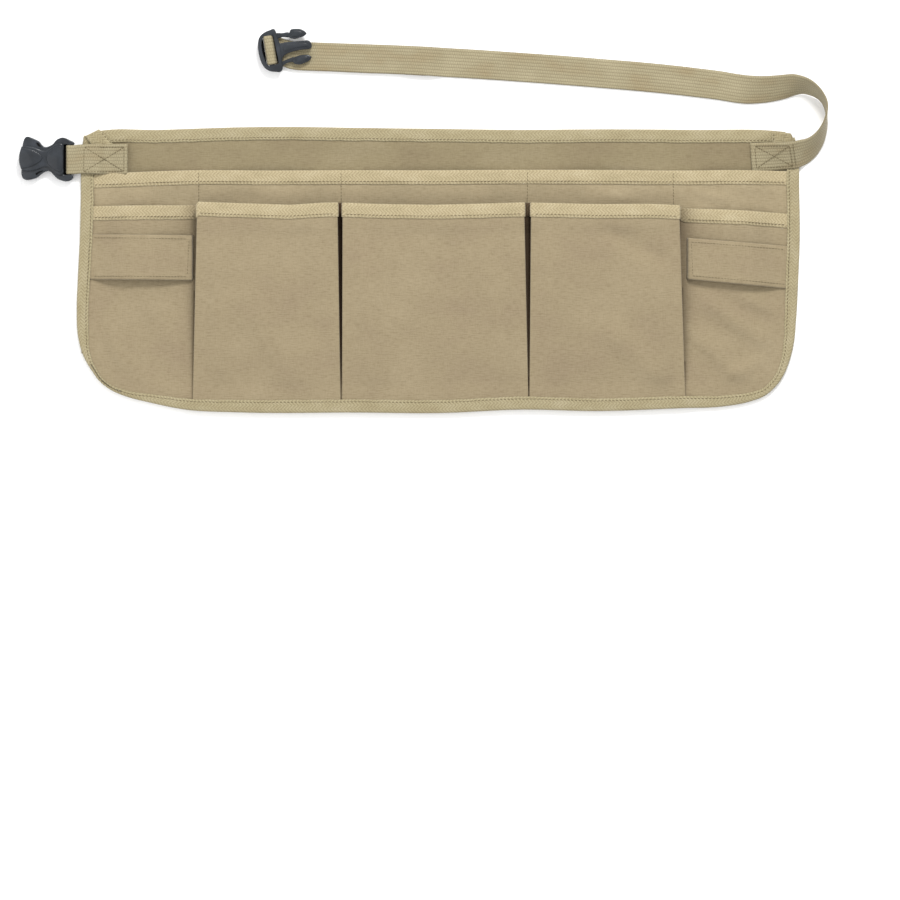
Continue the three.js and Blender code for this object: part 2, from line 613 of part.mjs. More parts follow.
// The strap's way through the plug, along the prongs in x and up in z: from the run up beside the bar,
// over it, down again, and back under the run as the tail, whose end is folded over into a hem
function barStations() {
  const bend = GAP + WEB / 2;
  const beside = BAR / 2 + bend;
  const slotEnd = BAR / 2 + PLUG_SLOT;
  const barTop = PLUG_BASE + PLUG_THICKNESS;
  const slant = bend * Math.SQRT1_2;
  const way = [
    [slotEnd, RUN_HEIGHT], [slotEnd - slant, PLUG_BASE - slant], [slotEnd - bend, PLUG_BASE],
    [beside, barTop], [BAR / 2 + slant, barTop + slant], [BAR / 2, barTop + bend],
    [-BAR / 2, barTop + bend], [-BAR / 2 - slant, barTop + slant], [-beside, barTop],
    [-beside, PLUG_BASE], [-beside * 0.9, RUN_HEIGHT - 0.2], [-beside * 0.5, WEB], [0, WEB / 2],
    [TAIL_LENGTH * 0.4, WEB / 2], [TAIL_LENGTH - HEM_LENGTH, WEB / 2], [TAIL_LENGTH, WEB / 2],
    [TAIL_LENGTH + bend * 0.8, WEB + GAP / 2], [TAIL_LENGTH, RUN_HEIGHT],
    [TAIL_LENGTH - HEM_LENGTH, RUN_HEIGHT],
  ];
  return way.map(([x, z]) => {
    if (x > TAIL_LENGTH * 0.3) return onRun(x, z);
    return { at: plugBar.clone().addScaledVector(plugAlong, x).setZ(z), side: plugSide };
  });
}

function waistStrap() {
  const patch = PATCH.map(({ fromEdge, z }) => {
    return { at: new THREE.Vector3(APRON_WIDTH / 2 - fromEdge, WAIST, z), side: UPRIGHT };
  });
  return ribbon([...patch, ...turnStations(), ...runStations(), ...barStations()]);
}

// The doubled webbing that holds the socket: out over the edge, round the socket's bar and back
const SOCKET_BAR = -APRON_WIDTH / 2 - 6;
const SOCKET_MIDDLE = WEB_OVER_TAPE + (WEB + GAP) / 2;
function buckleTab() {
  const around = BAR / 2 + GAP + WEB / 2;
  const lower = PATCH.map(({ fromEdge, z }) => [fromEdge - APRON_WIDTH / 2, z]);
  const upper = lower.map(([x, z]) => [x, z + WEB + GAP]).reverse();
  const loop = [-80, -125, -180, -235, -280].map((degrees) => {
    const angle = THREE.MathUtils.degToRad(degrees);
    return [SOCKET_BAR + around * Math.cos(angle), SOCKET_MIDDLE + around * Math.sin(angle)];
  });
  return ribbon([...lower, ...loop, ...upper].map(([x, z]) => {
    return { at: new THREE.Vector3(x, WAIST, z), side: UPRIGHT };
  }));
}

// Solids for cutting and joining
function manifoldOf(geometry) {
  const bare = geometry.clone();
  bare.deleteAttribute('normal');
  bare.deleteAttribute('uv');
  const merged = mergeVertices(bare, 1e-4);
  return new wasm.Manifold(new wasm.Mesh({
    numProp: 3, vertProperties: merged.attributes.position.array, triVerts: new Uint32Array(merged.index.array),
  }));
}

function geometryFrom(manifold) {
  const mesh = manifold.getMesh();
  const geometry = new THREE.BufferGeometry();
  geometry.setAttribute('position', new THREE.BufferAttribute(mesh.vertProperties, 3));
  geometry.setIndex(new THREE.BufferAttribute(mesh.triVerts, 1));
  return geometry;
}

function box(width, depth, height, x, y, z) {
  return manifoldOf(new THREE.BoxGeometry(width, depth, height).translate(x, y, z));
}

function plate(shape, height, z, curveSegments = 8) {
  const geometry = new THREE.ExtrudeGeometry(shape, { depth: height, bevelEnabled: false, curveSegments });
  return manifoldOf(geometry.translate(0, 0, z));
}

function roundedRectangle(left, right, half, radius) {
  const shape = new THREE.Shape();
  shape.moveTo(left + radius, -half);
  shape.lineTo(right - radius, -half);
  shape.absarc(right - radius, -half + radius, radius, -Math.PI / 2, 0, false);
  shape.absarc(right - radius, half - radius, radius, 0, Math.PI / 2, false);
  shape.absarc(left + radius, half - radius, radius, Math.PI / 2, Math.PI, false);
  shape.absarc(left + radius, -half + radius, radius, Math.PI, 1.5 * Math.PI, false);
  return shape;
}

// The socket's outline from its bar's lugs to its mouth, as shares of its length and half width
const SOCKET_OUTLINE = [
  { along: -0.1, half: 0.66 }, { along: -0.06, half: 0.9 }, { along: 0.1, half: 1.0 },
  { along: 0.22, half: 0.86 }, { along: 0.42, half: 0.55 }, { along: 0.55, half: 0.56 },
  { along: 0.68, half: 0.8 }, { along: 0.78, half: 0.96 }, { along: 0.86, half: 0.8 },
  { along: 0.9, half: 0.45 },
];

function buckleSocket() {
  const half = SOCKET_WIDTH / 2;
  const edge = SOCKET_OUTLINE.map(({ along, half: share }) => {
    return new THREE.Vector2(along * SOCKET_LENGTH, share * half);
  });
  const curve = new THREE.SplineCurve(edge).getPoints(22);
  const shape = new THREE.Shape([...curve, ...curve.map((p) => new THREE.Vector2(p.x, -p.y)).reverse()]);
  const middle = SOCKET_THICKNESS / 2;
  const slotWide = WEB_WIDTH + 2 * GAP;
  const slotEnd = BAR / 2 + WEB + 4 * GAP;
  const lugs = SOCKET_LENGTH / 2;
  const mouthWide = SOCKET_WIDTH * 0.45;
  const mouthHigh = SOCKET_THICKNESS - 2 * SOCKET_WALL;
  const mouthFrom = slotEnd + 2 * SOCKET_WALL;
  const bar = manifoldOf(new THREE.CylinderGeometry(BAR / 2, BAR / 2, slotWide + 2, 12)
    .translate(0, 0, SOCKET_MIDDLE));
  const windowAt = SOCKET_LENGTH * 0.5;
  return geometryFrom(plate(shape, SOCKET_THICKNESS, 0)
    .subtract(box(slotEnd + lugs, slotWide, 2 * SOCKET_THICKNESS, (slotEnd - lugs) / 2, 0, middle))
    .subtract(box(SOCKET_LENGTH, mouthWide, mouthHigh, mouthFrom + SOCKET_LENGTH / 2, 0, middle))
    .subtract(box(SOCKET_LENGTH * 0.16, 2 * SOCKET_WIDTH, mouthHigh * 0.6, windowAt, 0, middle))
    .add(bar)).rotateZ(Math.PI).translate(SOCKET_BAR, WAIST, 0);
}

// The plug's prongs, as shares of its length from its bar and of its half width
const SIDE_PRONG = [
  [0.16, 0.58], [0.4, 0.58], [0.46, 0.53], [0.74, 0.56], [0.76, 0.64], [0.6, 0.94], [0.42, 0.98],
  [0.38, 0.93], [0.4, 0.8], [0.16, 0.8],
];
const TONGUE = [
  [0.16, -0.2], [0.7, -0.26], [0.79, -0.2], [0.8, 0], [0.79, 0.2], [0.7, 0.26], [0.16, 0.2],
];

function bucklePlug() {
  const half = PLUG_WIDTH / 2;
  const frameFrom = -0.2 * PLUG_LENGTH;
  const frameTo = 0.18 * PLUG_LENGTH;
  const slotWide = WEB_WIDTH + 2 * GAP;
  const prong = (outline, flip) => plate(new THREE.Shape(outline.map(([x, y]) => {
    return new THREE.Vector2(x * PLUG_LENGTH, y * half * flip);
  })), PLUG_THICKNESS * 0.8, PLUG_THICKNESS * 0.1);
  const slotAt = (BAR + PLUG_SLOT) / 2;
  let plug = plate(roundedRectangle(frameFrom, frameTo, half, half * 0.25), PLUG_THICKNESS, 0, 4)
    .subtract(box(PLUG_SLOT, slotWide, 3 * PLUG_THICKNESS, slotAt, 0, 0))
    .subtract(box(PLUG_SLOT, slotWide, 3 * PLUG_THICKNESS, -slotAt, 0, 0));
  for (const flip of [1, -1]) plug = plug.add(prong(SIDE_PRONG, flip));
  plug = plug.add(prong(TONGUE, 1));
  return geometryFrom(plug).rotateZ(PLUG_TILT).translate(plugBar.x, plugBar.y, PLUG_BASE);
}

// The folded ends of the tape at the two top corners, in tape widths from the apron's corner
const FOLD_LEFT = [[0.59, -0.73], [1.72, -0.2], [2.7, -1.13], [1.43, -1.13]];
const FOLD_RIGHT = [[2.2, -0.3], [0.9, -0.3], [0.4, -1.0], [0.6, -1.13], [2.2, -1.13]];

function cornerFold(outline, side) {
  const z = 2 * TAPE_LAYER + CLOTH + GAP;
  const shape = new THREE.Shape(outline.map(([x, y]) => {
    const across = side * (APRON_WIDTH / 2 - x * TAPE_WIDTH);
    return new THREE.Vector2(...lie(across, APRON_HEIGHT / 2 + y * TAPE_WIDTH));
  }));
  return geometryFrom(plate(shape, TAPE, z));
}

function mesh(name, geometry, color, roughness = 0.9) {
  const made = new THREE.Mesh(geometry, new THREE.MeshStandardMaterial({ color, roughness, metalness: 0 }));
  made.name = name;
  return made;
}

const loopInset = TAPE_WIDTH + 2 * GAP + TAPE;
const loopEnd = PLEAT_DEPTH * 0.4;
const apron = new THREE.Group();
apron.add(mesh('back_panel', flatCloth(ROWS.back, backZ), CANVAS_COLOUR));
apron.add(mesh('upper_pocket_panel', flatCloth(ROWS.upper, upperZ), CANVAS_COLOUR));
for (const { name, geometry } of lowerPockets()) apron.add(mesh(name, geometry, CANVAS_COLOUR));
apron.add(mesh('tool_loop_left', toolLoop(
  -HALF_WIDTH + loopInset, seamX(SEAMS[0]) - loopEnd, LOWER_MOUTH - LOOP_DROP_LEFT, 0,
), CANVAS_COLOUR));
apron.add(mesh('tool_loop_right', toolLoop(
  seamX(SEAMS[3]) + PLEAT_DEPTH, HALF_WIDTH - loopInset, LOWER_MOUTH - LOOP_DROP_RIGHT, 0.07,
), CANVAS_COLOUR));
apron.add(mesh('top_binding', topBinding(), TAPE_COLOUR));
apron.add(mesh('edge_binding', edgeBinding(), TAPE_COLOUR));
apron.add(mesh('corner_fold_left', cornerFold(FOLD_LEFT, -1), TAPE_COLOUR));
apron.add(mesh('corner_fold_right', cornerFold(FOLD_RIGHT, 1), TAPE_COLOUR));
apron.add(mesh('upper_pocket_binding', mouthBinding(
  columnsIn(-insideTape, insideTape), UPPER_MOUTH, (x) => upperZ(x, UPPER_MOUTH),
), TAPE_COLOUR));
for (const { name, geometry } of lowerMouthPieces()) apron.add(mesh(name, geometry, TAPE_COLOUR));
apron.add(mesh('buckle_tab', buckleTab(), WEB_COLOUR));
apron.add(mesh('waist_strap', waistStrap(), WEB_COLOUR));
apron.add(mesh('buckle_socket', buckleSocket(), PLASTIC_COLOUR, 0.45));
apron.add(mesh('buckle_plug', bucklePlug(), PLASTIC_COLOUR, 0.45));

export default apron;
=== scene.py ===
# Carpenter nail apron laid flat, front side up, with its waist strap thrown back over it.
# Metres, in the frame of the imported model: +X right across the front, +Y up to the waist, +Z up.
import math

import bmesh
import bpy
import numpy as np
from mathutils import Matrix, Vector, noise
from mathutils.bvhtree import BVHTree


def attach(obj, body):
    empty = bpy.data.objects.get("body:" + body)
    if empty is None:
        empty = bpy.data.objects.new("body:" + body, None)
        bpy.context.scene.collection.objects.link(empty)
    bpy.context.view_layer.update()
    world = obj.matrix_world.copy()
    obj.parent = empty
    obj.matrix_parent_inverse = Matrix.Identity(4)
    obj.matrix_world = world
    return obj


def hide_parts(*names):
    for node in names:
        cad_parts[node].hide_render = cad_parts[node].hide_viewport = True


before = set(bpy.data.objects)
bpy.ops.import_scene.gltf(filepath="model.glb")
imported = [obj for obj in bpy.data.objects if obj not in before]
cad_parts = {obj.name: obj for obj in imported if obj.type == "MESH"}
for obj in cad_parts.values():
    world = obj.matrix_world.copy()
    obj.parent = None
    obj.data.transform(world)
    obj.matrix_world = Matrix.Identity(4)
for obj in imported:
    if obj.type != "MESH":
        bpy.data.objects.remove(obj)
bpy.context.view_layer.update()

# Scale of the photograph, and the place in it that is the frame's origin
MM = 0.001
PIXEL = 0.83 * MM
ORIGIN = (438.5, 270.0)

# Thicknesses and widths
CANVAS = 0.6 * MM
TAPE = 0.7 * MM
LAYER = 0.75 * MM
WEB = 1.4 * MM
WEB_WIDTH = 24 * MM
RIBS = 9

# Outline of the apron from its top left corner down and round to its top right one, with the width of
# the tape that shows there, in pixels of the photograph
SIDES = [
    (84.0, 135.5, 11), (81.5, 160, 12.5), (81, 200, 12.8), (80, 240, 12.6), (78, 280, 12.2), (77, 310, 11.8),
    (78.5, 338, 10.5), (84, 357, 7), (91.5, 370, 5), (100, 381.5, 4.2), (112, 390.5, 4.6), (128, 397, 6),
    (150, 402.5, 8.5), (185, 409.5, 11), (240, 412.3, 12.5), (360, 412.5, 13), (440, 413, 13),
    (520, 409.6, 13), (600, 411, 12.6), (680, 408.2, 12), (722, 406.5, 11), (748, 402, 9), (765, 395.5, 7.6),
    (776, 386, 7.2), (784, 374, 7.6), (789.5, 360, 8.5), (793.3, 345, 10), (796, 318, 11.5), (798, 280, 12.5),
    (799.5, 240, 12.5), (799, 190, 12.5), (797.5, 150, 12), (794.5, 137.5, 11.5),
]
TOP_EDGE = [
    (84, 134.5), (100, 131), (160, 130), (200, 128.6), (240, 127.4), (290, 127), (360, 128), (440, 129),
    (520, 130), (600, 129.4), (700, 130), (770, 130.6), (794, 133),
]
TOP_TAPE_WIDTH = 13.0

# Mouths of the two rows of pockets, and how wide their tape is
UPPER_MOUTH = [
    (80, 175.6), (120, 174.4), (198, 171.6), (270, 172.2), (342, 171.6), (430, 172), (526, 171.2),
    (600, 171.6), (672, 172), (740, 171.8), (800, 172.6),
]
LOWER_MOUTH = [
    (78, 207.8), (140, 207.2), (197, 206.5), (199, 203.6), (240, 205.2), (290, 206.8), (325, 204.6),
    (340, 204.4), (343, 204.6), (380, 206), (435, 206.8), (490, 205.4), (528, 204.2), (534, 204.6),
    (600, 206.2), (650, 205.8), (679, 207), (683, 209.6), (740, 212), (800, 216),
]
MOUTH_TAPE_WIDTH = 12.6

# Seams, and each deep pocket's fold edges at the mouth and at the bottom, in pixels
SEAMS = (198.5, 341.0, 527.5, 673.0)
MOUTH_ROW, BOTTOM_ROW = 217.0, 398.0
FIRST_ROW, ROW_SPAN = 206, 203
FOLDS = [
    {"left": (197.6, 193.2), "right": (337.6, 340.2)},
    {"left": (343.0, 342.4), "right": (524.0, 527.9)},
    {"left": (531.0, 529.7), "right": (678.8, 684.8)},
]
PLEAT = 14.0


def spot(u, v):
    """Place on the surface of a pixel of the photograph"""
    return (np.asarray(u) - ORIGIN[0]) * PIXEL, (ORIGIN[1] - np.asarray(v)) * PIXEL


def ease(value, start, end):
    """0 before the start, 1 after the end and smooth between"""
    t = np.clip((np.asarray(value, float) - start) / (end - start), 0, 1)
    return t * t * (3 - 2 * t)


def through(points, values):
    """Smooth line through a short table: a function of place"""
    points, values = np.asarray(points, float), np.asarray(values, float)
    slopes = np.gradient(values, points)

    def at(place):
        place = np.clip(place, points[0], points[-1])
        i = np.clip(np.searchsorted(points, place) - 1, 0, len(points) - 2)
        span = points[i + 1] - points[i]
        t = (place - points[i]) / span
        return ((2 * t**3 - 3 * t**2 + 1) * values[i] + (t**3 - 2 * t**2 + t) * span * slopes[i]
                + (3 * t**2 - 2 * t**3) * values[i + 1] + (t**3 - t**2) * span * slopes[i + 1])
    return at


def distances(places):
    """How far along a line each of its places is"""
    return np.r_[0, np.cumsum(np.linalg.norm(np.diff(places, axis=0), axis=1))]


def curve(points, count):
    """Evenly spaced places on a smooth curve through points, whatever their number of columns"""
    points = np.asarray(points, float)
    steps = distances(points[:, :2])
    at = np.linspace(0, steps[-1], count)
    return np.column_stack([through(steps, column)(at) for column in points.T])


top_edge = through(*zip(*TOP_EDGE))
upper_mouth = through(*zip(*UPPER_MOUTH))
bottom_edge = through(*zip(*[row[:2] for row in SIDES if row[1] > 305 and row[0] < 797]))
LEFT_END, RIGHT_END = 78.0, 795.5
OUTLINE = np.vstack([curve([row[:2] for row in SIDES], 900), curve(TOP_EDGE, 300)[::-1]])


def lower_mouth(u):
    return np.interp(u, *zip(*LOWER_MOUTH))


def inset(u, v):
    """Distance in pixels from the apron's edge"""
    flat_u, flat_v = np.ravel(u), np.ravel(v)
    nearest = np.full(flat_u.shape, 1e9)
    for start in range(0, len(OUTLINE), 50):
        part = OUTLINE[start:start + 50]
        gaps = np.hypot(flat_u[:, None] - part[:, 0], flat_v[:, None] - part[:, 1])
        nearest = np.minimum(nearest, gaps.min(axis=1))
    return nearest.reshape(np.shape(u))


def waves(u, v, size, seed):
    """Smooth noise between about -1 and 1, with the size of its lumps in pixels"""
    shape = np.shape(u)
    places = zip(np.ravel(u) / size, np.ravel(v) / size)
    values = [noise.noise(Vector((a, b, seed * 7.31))) for a, b in places]
    return np.array(values).reshape(shape) * 1.6


# Creases that show in the cloth: from, to, half width and height of each, pixels and millimetres
CREASES = {
    "back": [
        ((150, 150), (330, 158), 12, 1.0), ((420, 164), (640, 150), 14, 1.2),
        ((600, 146), (735, 160), 9, 1.3), ((300, 142), (420, 164), 9, -0.7),
    ],
    "upper": [
        ((232, 190), (262, 206), 9, -0.7), ((600, 188), (640, 204), 10, 0.8),
        ((688, 184), (730, 206), 7, 1.3), ((720, 180), (785, 204), 9, -0.9),
    ],
    "side_left": [
        ((110, 296), (124, 392), 13, 1.6), ((98, 330), (150, 394), 11, 1.3),
        ((140, 290), (184, 356), 11, 1.1),
    ],
    "side_right": [
        ((700, 298), (782, 352), 10, 3.0), ((690, 330), (758, 394), 10, 2.8),
        ((738, 296), (790, 318), 7, 1.8), ((716, 386), (780, 352), 8, 1.6),
    ],
    "front_1": [
        ((214, 236), (222, 384), 12, 1.9), ((296, 232), (318, 352), 14, -1.8),
        ((238, 296), (306, 392), 16, 1.6),
    ],
    "front_2": [
        ((360, 236), (374, 392), 13, 2.0), ((440, 226), (474, 336), 18, -1.5),
        ((494, 250), (506, 392), 10, 1.5),
    ],
    "front_3": [
        ((546, 230), (562, 392), 12, 2.0), ((596, 224), (670, 264), 10, -2.2),
        ((606, 326), (668, 388), 13, 2.4), ((640, 246), (662, 384), 11, 1.8),
    ],
}


def creased(u, v, name):
    """Height in metres that creases and small lumps add to a cloth"""
    height = np.zeros(np.shape(u))
    for (u0, v0), (u1, v1), half, tall in CREASES[name]:
        along = np.array([u1 - u0, v1 - v0], float)
        length = np.hypot(*along)
        t = ((u - u0) * along[0] + (v - v0) * along[1]) / length**2
        off = ((u - u0) * along[1] - (v - v0) * along[0]) / length
        fade = ease(t, -0.15, 0.25) * (1 - ease(t, 0.75, 1.15))
        height = height + tall * np.exp(-(off / half) ** 2) * fade
    lumps = 0.35 * waves(u, v, 42, 1) + 0.16 * waves(u, v, 17, 4)
    return (height + lumps) * MM


def gape(u, ends=(LEFT_END, *SEAMS, RIGHT_END), flat=16.0):
    """0 along the seams and 1 over the middle of each pocket"""
    share = np.zeros(np.shape(u))
    for start, end in zip(ends[:-1], ends[1:]):
        slope = (end - start) * 0.32
        inside = (u >= start) & (u <= end)
        part = ease(u, start + flat, start + flat + slope) * ease(-u, flat - end, flat + slope - end)
        share = np.where(inside, part, share)
    return share


def rim(u, v):
    """The cloths rise a little where the edge tape runs beneath them"""
    return 0.8 * MM * (1 - ease(inset(u, v), 15, 30))


def calm_edge(u, v):
    """Creases die out where the cloth is caught in the tape"""
    return ease(inset(u, v), 12, 34)


# How far the pockets stand open, and how far a tape lifts the cloth that it closes round
UPPER_GAPE = 4.6 * MM
SIDE_GAPE = 4.2 * MM
TAPE_LIFT = 1.0 * MM


def back_height(u, v):
    lumps = np.maximum(creased(u, v, "back"), -0.4 * MM)
    return rim(u, v) + 0.3 * lumps * calm_edge(u, v) + 0.1 * MM


def upper_height(u, v):
    drop = v - upper_mouth(u)
    lift = TAPE_LIFT * (1 - ease(drop, 15, 32))
    open_up = UPPER_GAPE * gape(u) * (1 - 0.75 * ease(drop, 14, 96) - 0.25 * ease(drop, 70, 130))
    return rim(u, v) + LAYER + lift + open_up


def lower_height(u, v):
    drop = v - lower_mouth(u)
    lift = TAPE_LIFT * (1 - ease(drop, 15, 32))
    side = ((u < SEAMS[0]) | (u > SEAMS[3])) * SIDE_GAPE * gape(u) * (1 - ease(drop, 14, 130))
    rests_on = lower_mouth(u) + np.maximum(drop - 15, 0)
    return upper_height(u, rests_on) + rim(u, v) - rim(u, rests_on) + LAYER + lift + side


def new_material(name):
    """An empty material and its tree of nodes"""
    material = bpy.data.materials.new(name)
    material.use_nodes = True
    material.node_tree.nodes.clear()
    return material, material.node_tree


def linear(colour):
    """sRGB hex colour as linear RGBA"""
    parts = [int(colour[i:i + 2], 16) / 255 for i in (1, 3, 5)]
    return [c / 12.92 if c <= 0.04045 else ((c + 0.055) / 1.055) ** 2.4 for c in parts] + [1.0]


def add_node(tree, kind, inputs=None, **settings):
    """Add a shader node; an input is a number, a colour or another node's output"""
    made = tree.nodes.new("ShaderNode" + kind)
    for key, value in settings.items():
        setattr(made, key, value)
    for key, value in (inputs or {}).items():
        if isinstance(value, bpy.types.NodeSocket):
            tree.links.new(value, made.inputs[key])
        elif isinstance(value, bpy.types.Node):
            tree.links.new(value.outputs[0], made.inputs[key])
        else:
            made.inputs[key].default_value = value
    return made


def calculate(tree, operation, *values):
    return add_node(tree, "Math", dict(enumerate(values)), operation=operation).outputs[0]


def total(tree, first, first_share, second, second_share):
    """Sum of two values, each times a number"""
    rest = calculate(tree, "MULTIPLY", second, second_share)
    return calculate(tree, "MULTIPLY_ADD", first, first_share, rest)


def multiplied(tree, colour, share, tint):
    """A colour times a tint, by a share of nought to one"""
    inputs = {0: share, 6: colour, 7: tint}
    return add_node(tree, "Mix", inputs, data_type="RGBA", blend_type="MULTIPLY").outputs[2]


def ramp(tree, value, *stops):
    made = add_node(tree, "ValToRGB", {"Fac": value})
    points = made.color_ramp.elements
    while len(points) < len(stops):
        points.new(0.5)
    for point, (place, colour) in zip(points, stops):
        point.position, point.color = place, linear(colour)
    return made.outputs[0]


def tinted(tree, colour, share, value, *stops):
    return multiplied(tree, colour, share, ramp(tree, value, *stops))


def finish_surface(tree, colour, rough, height, depth, sheen=0.0, coat=0.0):
    """Principled surface with its colour, roughness and a bump of a depth in metres"""
    bump = add_node(tree, "Bump", {"Height": height, "Distance": depth, "Strength": 1.0})
    surface = add_node(tree, "BsdfPrincipled", {
        "Base Color": colour, "Roughness": rough, "Normal": bump.outputs[0],
        "Sheen Weight": sheen, "Sheen Roughness": 0.5, "Coat Weight": coat, "Specular IOR Level": 0.25,
    })
    add_node(tree, "OutputMaterial", {"Surface": surface.outputs[0]})


def cloth_places(tree):
    """Places along and across the cloth, in metres, from its own flat coordinates"""
    place = add_node(tree, "SeparateXYZ", {0: add_node(tree, "UVMap", uv_map="cloth").outputs[0]})
    return place.outputs[0], place.outputs[1]


def wave(tree, place, pitch):
    return calculate(tree, "SINE", calculate(tree, "MULTIPLY", place, 2 * math.pi / pitch))


def noise_of(tree, vector, scale, detail=2.0, rough=0.5):
    inputs = {"Vector": vector, "Scale": scale, "Detail": detail, "Roughness": rough}
    return add_node(tree, "TexNoise", inputs).outputs[0]


def flat_noise(tree, along, across, scale_along, scale_across, detail=3.0, rough=0.6):
    """Noise in the cloth's flat coordinates, with its own scale along and across, per metre"""
    at = add_node(tree, "CombineXYZ", {0: calculate(tree, "MULTIPLY", along, scale_along),
                                       1: calculate(tree, "MULTIPLY", across, scale_across)})
    return noise_of(tree, at, 1.0, detail, rough)


def object_noise(tree, scale, detail):
    return noise_of(tree, add_node(tree, "TexCoord").outputs["Object"], scale, detail)


def with_painted_pleat_shade(tree, colour):
    """Painted shade: darker where the cloth lies deep in a pleat, by an attribute of the mesh"""
    painted_pleat_shade = add_node(tree, "Attribute", attribute_name="painted_pleat_shade").outputs["Fac"]
    # painted shade: the colour is multiplied towards dark brown by the attribute's share
    return multiplied(tree, colour, painted_pleat_shade, linear("#5A4022"))


def canvas_cloth(name, middle, dark, light):
    """Canvas in plain weave, piece dyed khaki: slubs along the weft, a faint mottle from washing"""
    material, tree = new_material(name)
    along, across = cloth_places(tree)
    weave = calculate(tree, "MULTIPLY", wave(tree, along, 1.1 * MM), wave(tree, across, 1.1 * MM))
    slub = flat_noise(tree, along, across, 160, 1150, 4.0)
    thick = flat_noise(tree, along, across, 900, 190)
    mottle = flat_noise(tree, along, across, 16, 22, 4.0)
    colour = ramp(tree, mottle, (0.3, dark), (0.52, middle), (0.72, light))
    colour = tinted(tree, colour, 0.5, slub, (0.3, "#C6BDAC"), (0.52, "#F4F1EA"), (0.75, "#FFFFFF"))
    colour = tinted(tree, colour, 0.22, thick, (0.3, "#CBC4B6"), (0.6, "#FFFFFF"), (0.9, "#FFFFFF"))
    height = total(tree, weave, 0.3, slub, 0.9)
    # painted shade in the pleats, where the mesh carries the attribute for it
    finish_surface(tree, with_painted_pleat_shade(tree, colour), 0.86, height, 0.16 * MM, sheen=0.18)
    return material


def twill_tape(name, middle, dark, light):
    """Herringbone tape: small slanting ribs that turn at its middle"""
    material, tree = new_material(name)
    along, across = cloth_places(tree)
    mirrored = calculate(tree, "PINGPONG", across, 3.1 * MM)
    ribs = wave(tree, calculate(tree, "MULTIPLY_ADD", mirrored, 1.1, along), 2.9 * MM)
    fuzz = flat_noise(tree, along, across, 900, 900, 4.0, 0.65)
    patchy = flat_noise(tree, along, across, 45, 110)
    colour = ramp(tree, patchy, (0.3, dark), (0.5, middle), (0.7, light))
    shade = calculate(tree, "MULTIPLY_ADD", ribs, 0.5, 0.5)
    colour = tinted(tree, colour, 0.4, shade, (0.0, "#B3A88E"), (0.5, "#F4F1EA"), (1.0, "#FFFFFF"))
    colour = tinted(tree, colour, 0.35, fuzz, (0.3, "#9A8F79"), (0.55, "#FFFFFF"), (0.8, "#FFFFFF"))
    height = total(tree, ribs, 0.28, fuzz, 0.8)
    # painted shade in the pleats, where the mesh carries the attribute for it
    finish_surface(tree, with_painted_pleat_shade(tree, colour), 0.88, height, 0.22 * MM, sheen=0.2)
    return material


def ribbed_webbing(name, middle, dark, light):
    """Woven polypropylene webbing: ribs along it, crossed by the weft, a little shiny"""
    material, tree = new_material(name)
    along, across = cloth_places(tree)
    weft, waves_across = wave(tree, along, 1.9 * MM), wave(tree, across, 2 * WEB_WIDTH / RIBS)
    ribs = calculate(tree, "ABSOLUTE", waves_across)
    turned = calculate(tree, "MULTIPLY", weft, calculate(tree, "SIGN", waves_across))
    steps = calculate(tree, "MULTIPLY_ADD", turned, 0.5, 0.5)
    fuzz = flat_noise(tree, along, across, 1400, 900)
    patchy = flat_noise(tree, along, across, 30, 60, rough=0.5)
    colour = ramp(tree, patchy, (0.3, dark), (0.5, middle), (0.7, light))
    colour = tinted(tree, colour, 0.36, ribs, (0.0, "#8B7F62"), (0.5, "#F6F3EC"), (1.0, "#FFFFFF"))
    colour = tinted(tree, colour, 0.3, steps, (0.0, "#B0A58A"), (0.5, "#F6F3EC"), (1.0, "#FFFFFF"))
    colour = tinted(tree, colour, 0.3, fuzz, (0.3, "#A0967F"), (0.55, "#FFFFFF"), (0.8, "#FFFFFF"))
    finish_surface(tree, colour, 0.62, total(tree, ribs, 0.5, steps, 0.4), 0.3 * MM, sheen=0.1)
    return material


def sewing_thread(name, colour):
    """Twisted polyester thread; its colour is darkened as painted shade of the stitch holes"""
    material, tree = new_material(name)
    fibre = object_noise(tree, 1800.0, 2.0)
    tone = tinted(tree, linear(colour), 0.4, fibre, (0.3, "#9C917A"), (0.7, "#FFFFFF"))
    finish_surface(tree, tone, 0.6, fibre, 0.05 * MM)
    return material


def moulded_acetal(name, dark, middle, light, shine=0.15):
    """Injection moulded acetal, charcoal: satin, with a fine spark texture and light scuffs"""
    material, tree = new_material(name)
    spark = object_noise(tree, 2600.0, 3.0)
    cloud = object_noise(tree, 90.0, 4.0)
    tone = ramp(tree, cloud, (0.3, dark), (0.55, middle), (0.75, light))
    rough = calculate(tree, "MULTIPLY_ADD", cloud, 0.25, 0.9 - 4.4 * shine)
    finish_surface(tree, tone, rough, spark, 0.04 * MM, coat=shine)
    return material


def white_paper(name):
    """Matt white paper of the studio's floor"""
    material, tree = new_material(name)
    grain = object_noise(tree, 900.0, 2.0)
    finish_surface(tree, ramp(tree, grain, (0.0, "#FAFAFA"), (1.0, "#FFFFFF")), 0.95, grain, 0.01 * MM)
    return material


CANVAS_FRONT = canvas_cloth("cotton_canvas_front", "#92856B", "#8E8068", "#978A70")
# The upper pockets' canvas: the front's cloth in lighter tones, as painted light against the shade that falls
# between the mouths
CANVAS_UPPER_PAINTED_LIGHT = canvas_cloth("cotton_canvas_upper_painted_lighter", "#988B70", "#91856B", "#9F9277")
CANVAS_BACK = canvas_cloth("cotton_canvas_back", "#877C61", "#81755C", "#8D8268")
EDGE_TAPE = twill_tape("cotton_tape_edge", "#9D9375", "#968B6D", "#A49A7E")
MOUTH_TAPE = twill_tape("cotton_tape_mouth", "#AA9D7E", "#A29677", "#B1A587")
WEBBING = ribbed_webbing("polypropylene_webbing", "#958C71", "#908366", "#9D9479")
